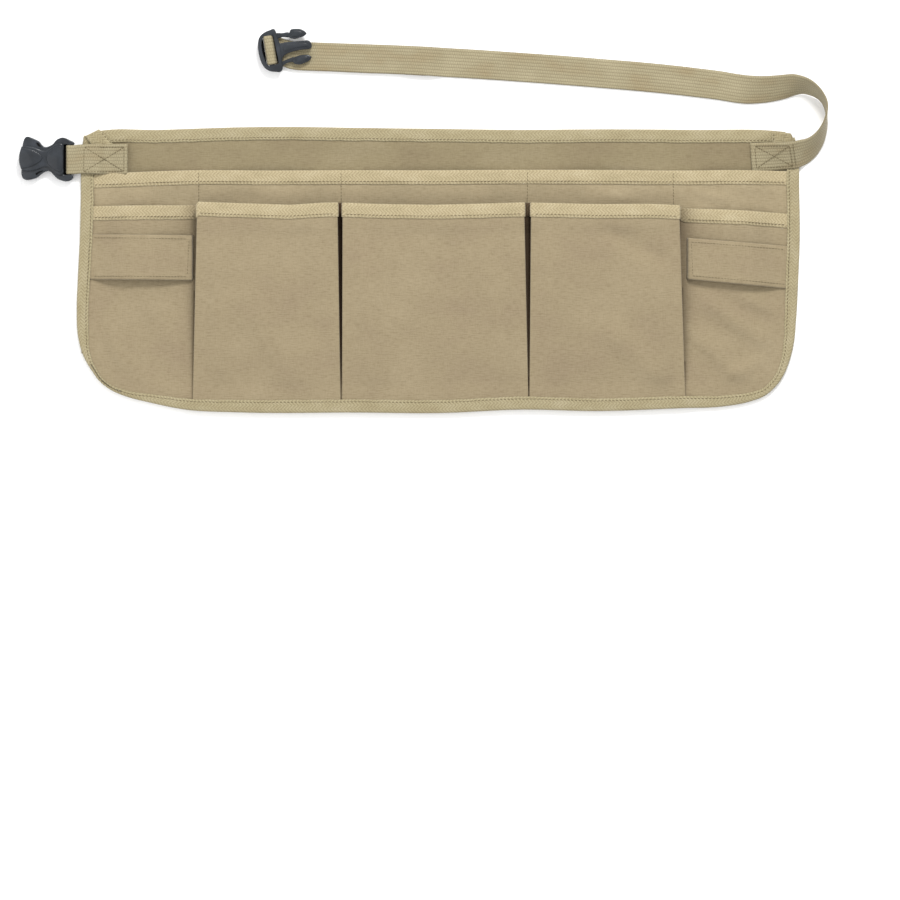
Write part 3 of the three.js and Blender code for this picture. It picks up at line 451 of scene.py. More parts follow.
# thread colour plus painted shade of the stitch holes it sinks into
THREAD_WITH_HOLE_SHADE = sewing_thread("polyester_thread_with_painted_hole_shade", "#6D6248")
ACETAL = moulded_acetal("moulded_acetal", "#1E2125", "#262A2F", "#2F333A")
# Near-black matt acetal without shine: painted shade for the floor under the socket's slot and the lips in the
# plug's slots
ACETAL_PAINTED_SHADE = moulded_acetal("acetal_painted_shade_black", "#020203", "#040405", "#060607", 0.0)


def new_piece(name, vertices, faces, material, flat=None):
    """Make an object from points and faces, with its cloth coordinates, riding on the apron"""
    mesh = bpy.data.meshes.new(name)
    mesh.from_pydata([tuple(map(float, place)) for place in vertices], [], [tuple(face) for face in faces])
    if flat is not None:
        layer = mesh.uv_layers.new(name="cloth")
        index = np.empty(len(mesh.loops), dtype=np.int32)
        mesh.loops.foreach_get("vertex_index", index)
        layer.data.foreach_set("uv", np.asarray(flat, float)[index].ravel())
    mesh.polygons.foreach_set("use_smooth", [True] * len(mesh.polygons))
    mesh.materials.append(material)
    piece = bpy.data.objects.new(name, mesh)
    bpy.context.collection.objects.link(piece)
    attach(piece, "root")
    return piece


def normals_of(middle):
    across = np.gradient(middle, axis=1)
    down = np.gradient(middle, axis=0)
    up = np.cross(-down, across)
    up = -up if np.median(up[..., 2]) < 0 else up
    return up / np.maximum(np.linalg.norm(up, axis=2, keepdims=True), 1e-12)


def cloth_piece(name, middle, flat, thickness, material):
    """A cloth of a thickness about a grid of places: rows run down it, columns across"""
    rows, columns = middle.shape[:2]
    up = normals_of(middle) * thickness / 2
    vertices = np.vstack([(middle + up).reshape(-1, 3), (middle - up).reshape(-1, 3)])
    i, j = np.meshgrid(np.arange(rows - 1), np.arange(columns - 1), indexing="ij")
    corner = (i * columns + j).ravel()
    quads = np.column_stack([corner, corner + columns, corner + columns + 1, corner + 1])
    under = rows * columns
    loop = [*range(columns), *range(2 * columns - 1, under, columns),
            *range(under - 2, under - columns - 1, -1), *range(under - 2 * columns, 0, -columns)]
    walls = [(a, b, b + under, a + under) for a, b in zip(loop, loop[1:] + loop[:1])]
    faces = [*quads.tolist(), *(quads[:, ::-1] + under).tolist(), *walls]
    flat = np.vstack([flat.reshape(-1, 2)] * 2)
    return new_piece(name, vertices, faces, material, flat)


def swept_piece(name, lines, flat, material):
    """A closed outline carried along: each of its corners has a line of places and of flat coordinates"""
    rings = np.stack(lines, axis=1)
    count, around = rings.shape[:2]
    faces = []
    for i in range(count - 1):
        for j in range(around):
            k = (j + 1) % around
            faces.append((i * around + j, i * around + k, (i + 1) * around + k, (i + 1) * around + j))
    faces += [tuple(range(around))[::-1], tuple(range((count - 1) * around, count * around))]
    return new_piece(name, rings.reshape(-1, 3), faces, material, np.stack(flat, axis=1).reshape(-1, 2))


# The back cloth and the upper row of pockets
EDGE_HIDDEN = 3.0


def side_edges(v):
    left = np.interp(v, [row[1] for row in SIDES[:7]], [row[0] for row in SIDES[:7]])
    right = np.interp(v, [row[1] for row in SIDES[:25:-1]], [row[0] for row in SIDES[:25:-1]])
    return left + EDGE_HIDDEN, right - EDGE_HIDDEN


def columns_across():
    """Places across the cloth as shares: finer near its rounded corners"""
    near_edge = np.array([0, 0.004, 0.01, 0.017, 0.025, 0.034, 0.046])
    return np.r_[near_edge, np.linspace(0.06, 0.94, 222), 1 - near_edge[::-1]]


def flat_panel(top_line, count):
    """Grid of pixels of a panel from a line down to the apron's bottom"""
    share = columns_across()[None, :]
    down = np.linspace(0, 1, count)[:, None] * np.ones_like(share)
    u = 82 + share * (793 - 82)
    for _ in range(3):
        v = top_line(u) + down * (bottom_edge(u) - EDGE_HIDDEN - top_line(u))
        left, right = side_edges(v)
        u = left + share * (right - left)
    return u, v


def panel(name, top_line, count, height_at, material, node):
    u, v = flat_panel(top_line, count)
    middle = np.stack([*spot(u, v), height_at(u, v) + CANVAS / 2], axis=2)
    piece = cloth_piece(name, middle, np.stack([u * PIXEL, v * PIXEL], axis=2), CANVAS, material)
    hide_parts(node)
    return piece


def upper_creased(u, v):
    """The upper pockets' height with their creases, which fade under the tape and under the front row"""
    fade = ease(v - upper_mouth(u), 14, 26) * calm_edge(u, v) * gape(u, flat=6.0) * (1 - ease(v, 196, 210))
    return upper_height(u, v) + creased(u, v, "upper") * fade


back_cloth = panel(
    "back_cloth", lambda u: top_edge(u) + EDGE_HIDDEN, 95, back_height, CANVAS_BACK, "back_panel")
upper_cloth = panel("upper_pocket_cloth", upper_mouth, 84, upper_creased, CANVAS_UPPER_PAINTED_LIGHT, "upper_pocket_panel")


# The front row: one cloth, folded into box pleats beside its three deep pockets
FRONT_STAND = 11.0 * MM
FRONT_CROWN = 1.4 * MM
FOLD_RADIUS = 1.1 * MM
WALL_POINTS = 12
FRONT_COLUMNS = (52, 68, 54)
SIDE_COLUMNS = 44


def line_between(start, end, count):
    share = np.linspace(0, 1, count)
    return start[0] + (end[0] - start[0]) * share, start[1] + (end[1] - start[1]) * share


def half_turn(x, z, radius, facing, count=7):
    """A fold: half a circle from its lowest point to its highest, bulging to one side"""
    angle = np.linspace(-math.pi / 2, math.pi / 2, count)
    return x + facing * radius * np.cos(angle), z + radius * np.sin(angle)


def lower_row(u, down):
    return lower_mouth(u) + down * (bottom_edge(u) - EDGE_HIDDEN - lower_mouth(u))


def side_of_section(start, end, down, count):
    u = np.linspace(start, end, count)
    v = lower_row(u, down)
    lumps = creased(u, v, "side_left" if end < 300 else "side_right")
    from_seam = np.minimum(abs(u - SEAMS[0]), abs(u - SEAMS[3]))
    fade = ease(v - lower_mouth(u), 14, 30) * calm_edge(u, v) * ease(from_seam, 4, 30)
    return spot(u, v)[0], lower_height(u, v) + CANVAS / 2 + np.maximum(lumps, -0.1 * MM) * fade


def wall(start, end):
    """The standing side of a pleat, without its two ends"""
    share = np.linspace(0, 1, WALL_POINTS)[1:-1]
    return start[0] + (end[0] - start[0]) * share, start[1] + (end[1] - start[1]) * ease(share, 0, 1)


def pleated_section(down):
    """The front row's middle line at one row, as places across and heights, in metres"""
    along = np.clip((FIRST_ROW + down * ROW_SPAN - MOUTH_ROW) / (BOTTOM_ROW - MOUTH_ROW), 0, 1)
    left_edge, right_edge = side_edges(np.array([lower_row(90.0, down), lower_row(785.0, down)]))
    parts = [side_of_section(left_edge[0], SEAMS[0], down, SIDE_COLUMNS)]
    stand = FRONT_STAND + (2 * LAYER - FRONT_STAND) * along**1.4
    turn = FOLD_RADIUS + (LAYER / 2 - FOLD_RADIUS) * along
    for k, fold in enumerate(FOLDS):
        x_left, x_right = [spot(np.interp(along, [0, 1], fold[key]), 0)[0] for key in ("left", "right")]
        base = [float(lower_height(np.array(s), lower_row(s, down))) + CANVAS / 2 for s in SEAMS[k:k + 2]]
        seam_left, seam_right = [spot(s, 0)[0] for s in SEAMS[k:k + 2]]
        tuck_left, tuck_right = x_left + PLEAT * PIXEL, x_right - PLEAT * PIXEL
        parts.append(line_between((seam_left, base[0]), (tuck_left - LAYER / 2, base[0]), 5))
        parts.append(half_turn(tuck_left - LAYER / 2, base[0] + LAYER / 2, LAYER / 2, 1))
        parts.append(wall((tuck_left - LAYER / 2, base[0] + LAYER),
                          (x_left + turn, base[0] + stand - 2 * turn)))
        parts.append(half_turn(x_left + turn, base[0] + stand - turn, turn, -1, 9))
        x, z = line_between((x_left + turn, base[0] + stand), (x_right - turn, base[1] + stand),
                            FRONT_COLUMNS[k])
        share = np.linspace(0, 1, FRONT_COLUMNS[k])
        u = x / PIXEL + ORIGIN[0]
        v = lower_row(u, down)
        lumps = creased(u, v, "front_%d" % (k + 1))
        fade = ease(v - lower_mouth(u), 13, 30) * ease(bottom_edge(u) - v, 12, 34)
        fade *= ease(np.minimum(share, 1 - share), 0, 0.12)
        z = z + FRONT_CROWN * np.sin(math.pi * share) ** 0.8 * (1 - along) + lumps * fade
        parts.append((x[1:-1], z[1:-1]))
        x, z = half_turn(x_right - turn, base[1] + stand - turn, turn, 1, 9)
        parts.append((x[::-1], z[::-1]))
        x, z = wall((tuck_right + LAYER / 2, base[1] + LAYER), (x_right - turn, base[1] + stand - 2 * turn))
        parts.append((x[::-1], z[::-1]))
        x, z = half_turn(tuck_right + LAYER / 2, base[1] + LAYER / 2, LAYER / 2, -1)
        parts.append((x[::-1], z[::-1]))
        parts.append(line_between((tuck_right + LAYER / 2, base[1]), (seam_right, base[1]), 5))
    parts.append(side_of_section(SEAMS[3] + 2.5, right_edge[1], down, SIDE_COLUMNS))
    return [np.concatenate([part[i] for part in parts]) for i in (0, 1)]


LOWER_ROWS = 78
downs = np.linspace(0, 1, LOWER_ROWS)
sections = [pleated_section(down) for down in downs]
lower_x, lower_z = np.array(sections).transpose(1, 0, 2)
MEASURED_ROW = 30
kept = np.r_[True, np.hypot(np.diff(lower_x[MEASURED_ROW]), np.diff(lower_z[MEASURED_ROW])) > 0.02 * MM]
lower_x, lower_z = lower_x[:, kept], lower_z[:, kept]
lower_u = lower_x / PIXEL + ORIGIN[0]
lower_v = lower_row(lower_u, downs[:, None])
lower_middle = np.stack([lower_x, spot(0, lower_v)[1], lower_z], axis=2)
front_along = distances(np.column_stack([lower_x[MEASURED_ROW], lower_z[MEASURED_ROW]]))
lower_flat = np.stack([np.broadcast_to(front_along, lower_x.shape), lower_v * PIXEL], axis=2)
front_cloth = cloth_piece("front_pocket_cloth", lower_middle, lower_flat, CANVAS, CANVAS_FRONT)


def covered(x, z):
    """How much painted shade each place of a row gets, from the share of the sky that the cloth hides from it: 0
    in the open, 1 deep in a pleat
    """
    away, above = x[None, :] - x[:, None], z[None, :] - z[:, None]
    slopes = np.arctan2(above, np.maximum(np.abs(away), 0.2 * MM)) * (above > 0.5 * MM)
    left = np.max(slopes * (away < 0), axis=1)
    right = np.max(slopes * (away >= 0), axis=1)
    hidden = (left + right) / math.pi
    return np.maximum(ease(hidden, 0.52, 0.92), 0.4 * ease(hidden, 0.2, 0.5))


def paint_pleat_shade(piece, values):
    piece.data.attributes.new("painted_pleat_shade", "FLOAT", "POINT").data.foreach_set("value", values)


# Painted shade of the front cloth's pleats, stored on its mesh from the share of sky each place loses
painted_pleat_shade = np.array([covered(*row) for row in zip(lower_x, lower_z)])
paint_pleat_shade(front_cloth, np.tile(painted_pleat_shade.ravel(), 2))
ACROSS = ("left", "inner_left", "middle", "inner_right", "right")
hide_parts(*["lower_pocket_" + word for word in ACROSS])


# Tapes folded over the two mouths
def mouth_tape(name, x, z, mouth_rows):
    """Tape over the edge of a cloth whose middle line is x and z"""
    across = np.gradient(np.stack([x, z]), axis=1)
    length = np.hypot(*across)
    normal = np.stack([-across[1], across[0]]) / length
    inner = CANVAS / 2 + 0.05 * MM
    outer = inner + TAPE
    wide = MOUTH_TAPE_WIDTH
    outline = [(wide, inner), (wide + 0.3, (inner + outer) / 2), (wide - 0.2, outer),
               (wide * 0.7, outer + 0.05 * MM), (wide * 0.35, outer + 0.05 * MM), (0.6, outer - 0.05 * MM),
               (-0.9, outer * 0.75), (-1.5, 0.0),
               (-0.9, -outer * 0.75), (0.6, -outer), (wide * 0.5, -outer), (wide, -outer), (wide, -inner),
               (0.4, -inner), (0.2, 0.0), (0.4, inner)]
    steps = distances(np.column_stack([x, z]))
    wobble = 0.25 * waves(steps / PIXEL, steps * 0, 9, len(name))
    lines, flat = [], []
    for d, off in outline:
        v = mouth_rows + d + (wobble if d > wide * 0.3 else 0)
        lines.append(np.stack([x + normal[0] * off, spot(0, v)[1], z + normal[1] * off], axis=1))
        flat.append(np.stack([steps, np.full_like(steps, d * PIXEL)], axis=1))
    return swept_piece(name, lines, flat, MOUTH_TAPE)


TAPE_ENDS = (86, 792)
tape_u = np.linspace(*TAPE_ENDS, 270)
tape_rows = upper_mouth(tape_u)
tape_z = upper_height(tape_u, tape_rows + 5) + CANVAS / 2
upper_tape = mouth_tape("upper_pocket_tape", spot(tape_u, 0)[0], tape_z, tape_rows)
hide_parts("upper_pocket_binding")
shown = (lower_u[0] > TAPE_ENDS[0]) & (lower_u[0] < TAPE_ENDS[1])
front_rows = lower_mouth(lower_u[0][shown])
front_tape = mouth_tape("front_pocket_tape", lower_x[0][shown], lower_z[1][shown], front_rows)
around = len(front_tape.data.vertices) // np.sum(shown)
# The front tape gets the same painted shade as the cloth it closes round, over the pleats
paint_pleat_shade(front_tape, np.repeat(np.maximum(painted_pleat_shade[0], painted_pleat_shade[1])[shown], around))
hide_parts(*["lower_pocket_binding_" + word for word in ACROSS])


# Whatever is laid next follows the height of what is already there
def top_of(*pieces):
    """Function of a pixel: the height of the highest of the pieces there"""
    trees = [BVHTree.FromPolygons([point.co for point in piece.data.vertices],
                                  [tuple(face.vertices) for face in piece.data.polygons]) for piece in pieces]

    def height(x, y):
        hits = [tree.ray_cast(Vector((x, y, 0.2)), Vector((0, 0, -1)))[0] for tree in trees]
        return max([hit.z for hit in hits if hit is not None], default=0.0)

    def heights(u, v):
        return np.reshape([height(*spot(a, b)) for a, b in zip(np.ravel(u), np.ravel(v))], np.shape(u))
    return heights


def neighbours(values, reach):
    padded = np.pad(values, reach, mode="edge")
    return [padded[i:i + len(values)] for i in range(2 * reach + 1)]


def evened(values, reach):
    """Running mean along a line"""
    return np.mean(neighbours(values, reach), axis=0)


def softened(values, reach):
    """Running maximum, then running mean, along a line"""
    return evened(np.max(neighbours(values, reach), axis=0), reach)


def edge_tape(name, path, widths, inward, top, floor=0.05 * MM):
    """Tape folded round the apron's edge: an upper leg on the cloths and a lower leg beneath them"""
    tangent = np.gradient(path, axis=0)
    tangent /= np.hypot(*tangent.T)[:, None]
    normal = inward * np.column_stack([tangent[:, 1], -tangent[:, 0]])
    steps = distances(path)
    widths = widths + 0.3 * waves(steps, steps * 0, 10, len(name))

    def at(inside):
        return (path + normal * np.asarray(inside)[:, None]).T

    high_in, high_mid, high_out = [softened(top(*at(inside)), 3) + 0.1 * MM
                                   for inside in (widths - 0.8, widths * 0.55, np.full(len(path), 4.4))]
    high_out = np.maximum(high_out, high_mid - 0.3 * MM)
    turned_up = floor + TAPE
    outline = [
        (widths - 0.4, floor), (widths * 0.5, floor), (1.6, floor), (0.35, floor + 0.22 * TAPE),
        (-0.1, floor + 0.6 * TAPE), (-0.1, (high_out + TAPE) * 0.6), (0.3, high_out + TAPE * 0.55),
        (1.4, high_out + TAPE * 0.93), (2.8, high_out + TAPE), (widths * 0.5, high_mid + TAPE),
        (widths - 0.9, high_in + TAPE), (widths - 0.1, high_in + TAPE * 0.7), (widths, high_in),
        (widths * 0.5, high_mid), (2.8, high_out), (2.1, (turned_up + high_out) / 2), (2.4, turned_up),
        (widths * 0.5, turned_up),
    ]
    lines, flat = [], []
    for d, z in outline:
        d, z = np.broadcast_to(d, len(path)), np.broadcast_to(z, len(path))
        lines.append(np.stack([*spot(*at(d)), z], axis=1))
        flat.append(np.stack([steps * PIXEL, d * PIXEL], axis=1))
    piece = swept_piece(name, lines, flat, EDGE_TAPE)
    return piece, np.column_stack([*spot(*at(widths - 2.4)), high_in + TAPE])


# Tool loops: a hemmed strip of canvas on each side pocket, standing off it
def tool_loop(name, stations, top_line, bottom_line, node):
    """stations are pixels across and heights above the pocket in millimetres"""
    path = curve(stations, 90)
    middle = (top_line(path[:, 0]) + bottom_line(path[:, 0])) / 2
    base = softened(top_of(front_cloth)(path[:, 0], middle), 3)
    line = np.column_stack([path[:, 0] * PIXEL, base + path[:, 1] * MM])
    tangent = np.gradient(line, axis=0)
    tangent /= np.hypot(*tangent.T)[:, None]
    normal = np.column_stack([-tangent[:, 1], tangent[:, 0]])
    steps = distances(line)
    # The strip's section: share of the way down it, pixels further, and height in thicknesses of canvas
    hem = 6.5
    leg = [(hem, -2.3), (hem * 0.5, -2.35), (1.2, -2.2), (-0.3, -1.4), (0.2, -0.5), (1.3, -0.08),
           (hem - 1, 0.0), (hem + 0.6, -0.22)]
    outline = [(0, offset, level) for offset, level in leg]
    outline += [(share, 0, -0.15 + 0.12 * math.sin(share * math.pi)) for share in np.linspace(0.24, 0.76, 9)]
    outline += [(1, -offset, level) for offset, level in leg[::-1]]
    outline += [(1, -hem * 1.02, -1.3), *[(share, 0, -1.25) for share in np.linspace(0.74, 0.26, 5)],
                (0, hem * 1.02, -1.3)]
    lines, flat = [], []
    for share, offset, level in outline:
        v = top_line(path[:, 0]) * (1 - share) + bottom_line(path[:, 0]) * share + offset
        off = level * CANVAS + 0.25 * MM * waves(path[:, 0], v, 24, 5)
        x, y = spot(path[:, 0], v)
        lines.append(np.stack([x + normal[:, 0] * off, y, line[:, 1] + normal[:, 1] * off], axis=1))
        flat.append(np.stack([steps, v * PIXEL], axis=1))
    piece = swept_piece(name, lines, flat, CANVAS_FRONT)
    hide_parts(node)
    return piece


def between(*ends):
    return lambda u: np.interp(u, [ends[0][0], ends[-1][0]], [ends[0][1], ends[-1][1]])


left_loop = tool_loop(
    "tool_loop_cloth_left",
    [(89, 1.0), (92, 1.2), (97, 1.9), (106, 3.0), (120, 3.8), (145, 4.2), (170, 4.2), (183, 4.0), (189, 3.7),
     (192, 3.1), (192.9, 2.3), (192.8, 1.5), (193.4, 0.9)],
    between((91.6, 234.6), (193, 235.6)), between((91.6, 279.3), (190, 280.2)), "tool_loop_left")
right_loop = tool_loop(
    "tool_loop_cloth_right",
    [(686.6, 0.9), (687.4, 1.5), (687.3, 2.3), (688.2, 3.1), (692, 3.7), (699, 4.0), (715, 4.2), (740, 4.2),
     (760, 3.8), (774, 3.0), (783, 1.9), (788, 1.2), (791, 1.0)],
    between((687.5, 238.2), (788, 246.4)), between((689.7, 279.4), (786.8, 288.4)), "tool_loop_right")


cloths = [back_cloth, upper_cloth, front_cloth, upper_tape, front_tape]
top_path = curve(TOP_EDGE, 330)[4:-4]
top_widths = np.full(len(top_path), TOP_TAPE_WIDTH)
top_tape, top_seam = edge_tape("top_tape", top_path, top_widths, -1, top_of(*cloths), 0.12 * MM)
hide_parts("top_binding")
side_path = curve(SIDES, 620)
beneath = top_of(*cloths, top_tape, left_loop, right_loop)
side_tape, side_seam = edge_tape("edge_tape", side_path[:, :2], side_path[:, 2], 1, beneath)
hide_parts("edge_binding")


# The ends of the edge tape, folded in over the top tape at the two corners
FOLD_LIFT = 0.45


def folded_end(name, corners, node):
    """A small four-sided patch of tape; its corners go round it from the top left one"""
    share = np.linspace(0, 1, 15)
    a, b = np.meshgrid(share, share)
    shares = ((1 - a) * (1 - b), a * (1 - b), a * b, (1 - a) * b)
    u, v = [sum(corner[i] * part for corner, part in zip(corners, shares)) for i in (0, 1)]
    under = top_of(side_tape, top_tape, back_cloth)(u, v)
    reach = np.minimum(np.minimum(a, 1 - a), np.minimum(b, 1 - b))
    pulls = 0.28 * np.sin(2 * math.pi * (2.2 * a + 0.7 * b)) * ease(reach, 0, 0.2)
    rise = FOLD_LIFT + pulls - 0.3 * (1 - ease(reach, 0, 0.08))
    z = np.maximum(under, under.max() - 0.6 * MM) + TAPE / 2 + rise * MM
    flat = np.stack([u + v, u - v], axis=2) * PIXEL * 0.7
    piece = cloth_piece(name, np.stack([*spot(u, v), z], axis=2), flat, TAPE, EDGE_TAPE)
    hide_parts(node)
    return piece


left_fold = folded_end(
    "folded_end_left", [(85.5, 136.4), (99.2, 129.4), (114.5, 145.5), (92.5, 147)], "corner_fold_left")
right_fold = folded_end(
    "folded_end_right", [(771.6, 131.8), (790.6, 133.6), (795.4, 144), (772.2, 144.5)], "corner_fold_right")


# Webbing: a ribbon between two edge lines, ribbed along its length
def webbing(name, first, second, node):
    """first and second are the ribbon's two edges as places in metres, station by station"""
    middle = (first + second) / 2
    tangent = np.gradient(middle, axis=0)
    tangent /= np.linalg.norm(tangent, axis=1)[:, None]
    up = np.cross(tangent, first - second)
    up /= np.linalg.norm(up, axis=1)[:, None]
    steps = distances(middle)
    points = 2 * RIBS + 1
    share = np.linspace(0, 1, points)
    swell = 0.1 * np.abs(np.sin(share * RIBS * math.pi)) + 0.9
    swell[[0, -1]] = 0.45
    lines, flat = [], []
    for side, order in ((1, range(points)), (-1, reversed(range(points)))):
        for j in order:
            off = up * (side * WEB / 2 * swell[j])
            lines.append(first * (1 - share[j]) + second * share[j] + off)
            flat.append(np.stack([steps, np.full_like(steps, share[j] * WEB_WIDTH)], axis=1))
    piece = swept_piece(name, lines, flat, WEBBING)
    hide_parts(node)
    return piece, steps[-1]


def lay_on(top, first, second, reach=3):
    """Height of a ribbon's middle plane over what it lies on, station by station"""
    across = [top(*(first * (1 - s) + second * s).T) for s in (0.08, 0.3, 0.5, 0.7, 0.92)]
    return softened(np.max(across, axis=0), reach) + WEB / 2 + 0.1 * MM


apron_top = top_of(back_cloth, upper_cloth, upper_tape, top_tape, side_tape, left_fold, right_fold)

# The strap: from its patch over the apron's side, round in a half twist, and back along the top.
# Each row is one edge and then the other, in pixels; the first edge stands up in the turn.
STRAP = [
    (749.9, 143.0, 752.1, 171.7), (762, 143.0, 764, 171.0), (776, 143.0, 778, 170.0),
    (786, 143.0, 789.5, 168.9), (793.5, 142.0, 797.5, 168.0), (799.5, 140.6, 804.0, 165.4),
    (805.7, 139.4, 810.0, 161.6), (811.0, 136.6, 815.4, 156.6), (815.2, 133.0, 819.8, 150.4),
    (818.8, 128.6, 823.4, 143.0), (822.0, 123.0, 825.8, 134.0), (824.4, 116.4, 827.0, 124.0),
    (825.8, 109.4, 826.0, 114.0), (825.6, 102.8, 823.6, 106.0), (823.2, 96.4, 820.2, 101.0),
    (819.2, 90.2, 815.2, 97.4), (814.2, 84.8, 809.2, 95.0), (808.0, 80.2, 802.4, 93.8),
    (800.6, 77.0, 794.6, 95.4), (792.4, 75.0, 786.2, 98.4), (783.4, 75.4, 777.2, 100.6),
    (773.6, 76.2, 767.6, 102.4), (762.4, 76.6, 757.2, 103.4), (751.0, 76.0, 746.8, 103.8),
    (738.0, 74.2, 734.4, 102.6), (722.0, 71.4, 718.8, 100.0), (700.0, 68.6, 697.2, 97.3),
    (680.0, 66.2, 677.4, 95.0), (640.0, 62.2, 637.6, 91.0), (600.0, 58.9, 597.8, 87.7),
    (560.0, 55.6, 557.9, 84.5), (520.0, 52.8, 518.0, 81.6), (480.0, 50.0, 478.2, 78.9),
    (440.0, 47.7, 438.4, 76.6), (400.0, 45.6, 398.8, 74.3), (360.0, 44.2, 359.0, 72.8),
    (330.0, 43.1, 329.0, 71.4), (312.0, 42.5, 311.0, 70.8), (300.0, 42.1, 299.6, 70.3),
    (291.0, 41.0, 291.8, 69.4), (284.0, 39.0, 286.0, 67.6), (278.6, 37.2, 281.6, 65.6),
]
strap_edges = curve(STRAP, 330)
first, second = strap_edges[:, :2], strap_edges[:, 2:]
gap = np.hypot(*(first - second).T) * PIXEL
raised = np.sqrt(np.maximum(WEB_WIDTH**2 - np.minimum(gap, WEB_WIDTH)**2, 0))
raised = evened(raised * ease(WEB_WIDTH - gap, 0.1 * MM, 0.6 * MM) * ease(first[:, 0], 700, 745), 4)
beyond = ease(second[:, 0], 796, 806)
turned = np.cumsum(second[:, 0] > 798) > 0
on_apron = lay_on(apron_top, first, second) + 0.8 * MM * np.exp(-((first[:, 0] - 751.4) / 1.1) ** 2)
PLUG_SPOT = (269.85, 50.7)
TAIL_END = PLUG_SPOT[0] + 156
ONE_WEB = WEB + 0.35 * MM
tail_lift = 1 - ease(second[:, 0], TAIL_END + 4, TAIL_END + 20)
hem_lift = ease(second[:, 0], TAIL_END - 26, TAIL_END - 14)
hem_lift = hem_lift * (1 - ease(second[:, 0], TAIL_END + 3, TAIL_END + 18))
free = WEB / 2 + 0.05 * MM + ONE_WEB * (tail_lift + hem_lift) * turned
ground = np.where(turned, on_apron + (free - on_apron) * beyond, on_apron)
ground = np.where(turned & (np.arange(len(strap_edges)) > np.argmax(second[:, 0])), free, ground)
ground = evened(ground, 2)


def lifted(places, z):
    """Pixels at a height, as places in metres"""
    return np.column_stack([*spot(*places.T), z])


strap_first, strap_second = lifted(first, ground + raised), lifted(second, ground)
# ... and through the plug: up beside its bar, over it, down again, and back beneath the run as the tail
PLUG_TILT = math.radians(8.7)
PLUG_ALONG = np.array([math.cos(PLUG_TILT), math.sin(PLUG_TILT), 0])
PLUG_SIDE = np.array([-math.sin(PLUG_TILT), math.cos(PLUG_TILT), 0])
PLUG_AT = np.array([*spot(*PLUG_SPOT), 0])
UPWARD = np.array([0, 0, 1])
WRAP = [
    (6.6, 2.6), (5.0, 3.3), (3.7, 5.2), (3.1, 7.2), (2.2, 8.6), (0.9, 9.1), (-0.9, 9.1), (-2.4, 8.4),
    (-3.1, 6.8), (-3.0, 4.6), (-2.5, 2.8), (-1.5, 1.5), (0.4, 0.85), (4, 0.75),
]
wrap = curve(WRAP, 90) * MM
wrap_middle = PLUG_AT + wrap[:, :1] * PLUG_ALONG + wrap[:, 1:] * UPWARD
wrap_first, wrap_second = [wrap_middle + way * WEB_WIDTH / 2 * PLUG_SIDE for way in (1, -1)]
# The tail, beneath the run, with its end folded back as a hem
run_line = curve(STRAP[::-1], 500)
HEM_RADIUS = 0.9 * MM
beyond_plug = (run_line[:, 0] > PLUG_SPOT[0] + 12) & (run_line[:, 0] < TAIL_END)
under_run = run_line[beyond_plug & (run_line[:, 1] < 80)]


def with_hem(line):
    """One edge of the tail, turned over at its end and brought back on top of itself"""
    ahead = line[-1] - line[-6]
    ahead /= np.linalg.norm(ahead)
    turn = [ahead * math.cos(angle) + UPWARD * (1 + math.sin(angle))
            for angle in np.radians(np.linspace(-90, 90, 9))]
    back = [UPWARD * 2 * HEM_RADIUS - ahead * reach * MM for reach in np.linspace(2, 11, 6)]
    return [*line, *[line[-1] + HEM_RADIUS * step for step in turn], *[line[-1] + step for step in back]]


tails = [with_hem(lifted(under_run[:, i:i + 2], np.full(len(under_run), 0.75 * MM))) for i in (0, 2)]
whole_first = np.vstack([strap_first, wrap_first, tails[0]])
whole_second = np.vstack([strap_second, wrap_second, tails[1]])
strap_band, strap_length = webbing("waist_strap_webbing", whole_first, whole_second, "waist_strap")

# The doubled tab that holds the socket
TAB = [
    (127.6, 144.2, 127.4, 174.6), (112, 144.3, 112, 174.6), (98, 144.2, 98, 174.2), (88, 144.4, 88, 173.8),
    (80, 144.9, 80, 173.9), (74.6, 145.6, 74.6, 174.4),
]
SOCKET_BAR = (69.8, 5.3)
tab_edges = curve(TAB, 60)
tab_first, tab_second = tab_edges[:, :2], tab_edges[:, 2:]
tab_level = lay_on(apron_top, tab_first, tab_second, 2)
tab_level = np.maximum(tab_level, tab_level.max() - 5 * MM * ease(-tab_first[:, 0], -127, -100))
tab_level = np.where(tab_first[:, 0] < 100, tab_level.max(), tab_level)
tab_level = evened(tab_level, 3)
near_bar = ease(-tab_first[:, 0], -87, -73)
rolled_end = 0.9 * MM * np.exp(-((tab_first[:, 0] - 126.0) / 1.1) ** 2)
under_bar, over_bar = [tab_level + rise + (height * MM - tab_level - rise) * near_bar
                       for rise, height in ((0, 3.6), (ONE_WEB, 7.0))]
tab_bottom = [lifted(line, under_bar) for line in (tab_first, tab_second)]
tab_upper = [lifted(line, over_bar + rolled_end)[::-1] for line in (tab_first, tab_second)]
bar_turn = np.radians(np.linspace(-60, -300, 17))
BEND_RADIUS = 2.2 * MM
bend_x = spot(SOCKET_BAR[0], 0)[0] + BEND_RADIUS * np.cos(bar_turn)
bend_z = SOCKET_BAR[1] * MM + BEND_RADIUS * np.sin(bar_turn)
tab_bends = [np.column_stack([bend_x, np.full(len(bar_turn), line[-1][1]), bend_z]) for line in tab_bottom]
tab_sides = [np.vstack(parts) for parts in zip(tab_bottom, tab_bends, tab_upper)]
tab_band, tab_length = webbing("buckle_tab_webbing", *tab_sides, "buckle_tab")


# Buckle halves: moulded plates, each started as a disc whose rim is moved out to an outline in pixels
def closed_curve(points, count):
    points = np.asarray(points, float)
    ring = np.vstack([points[-3:], points, points[:4]])
    steps = distances(ring)
    at = np.linspace(steps[3], steps[3 + len(points)], count + 1)[:-1]
    return np.column_stack([through(steps, column)(at) for column in ring.T])


BEVEL_FROM = math.radians(42)
SMOOTH_UP_TO = math.radians(36)


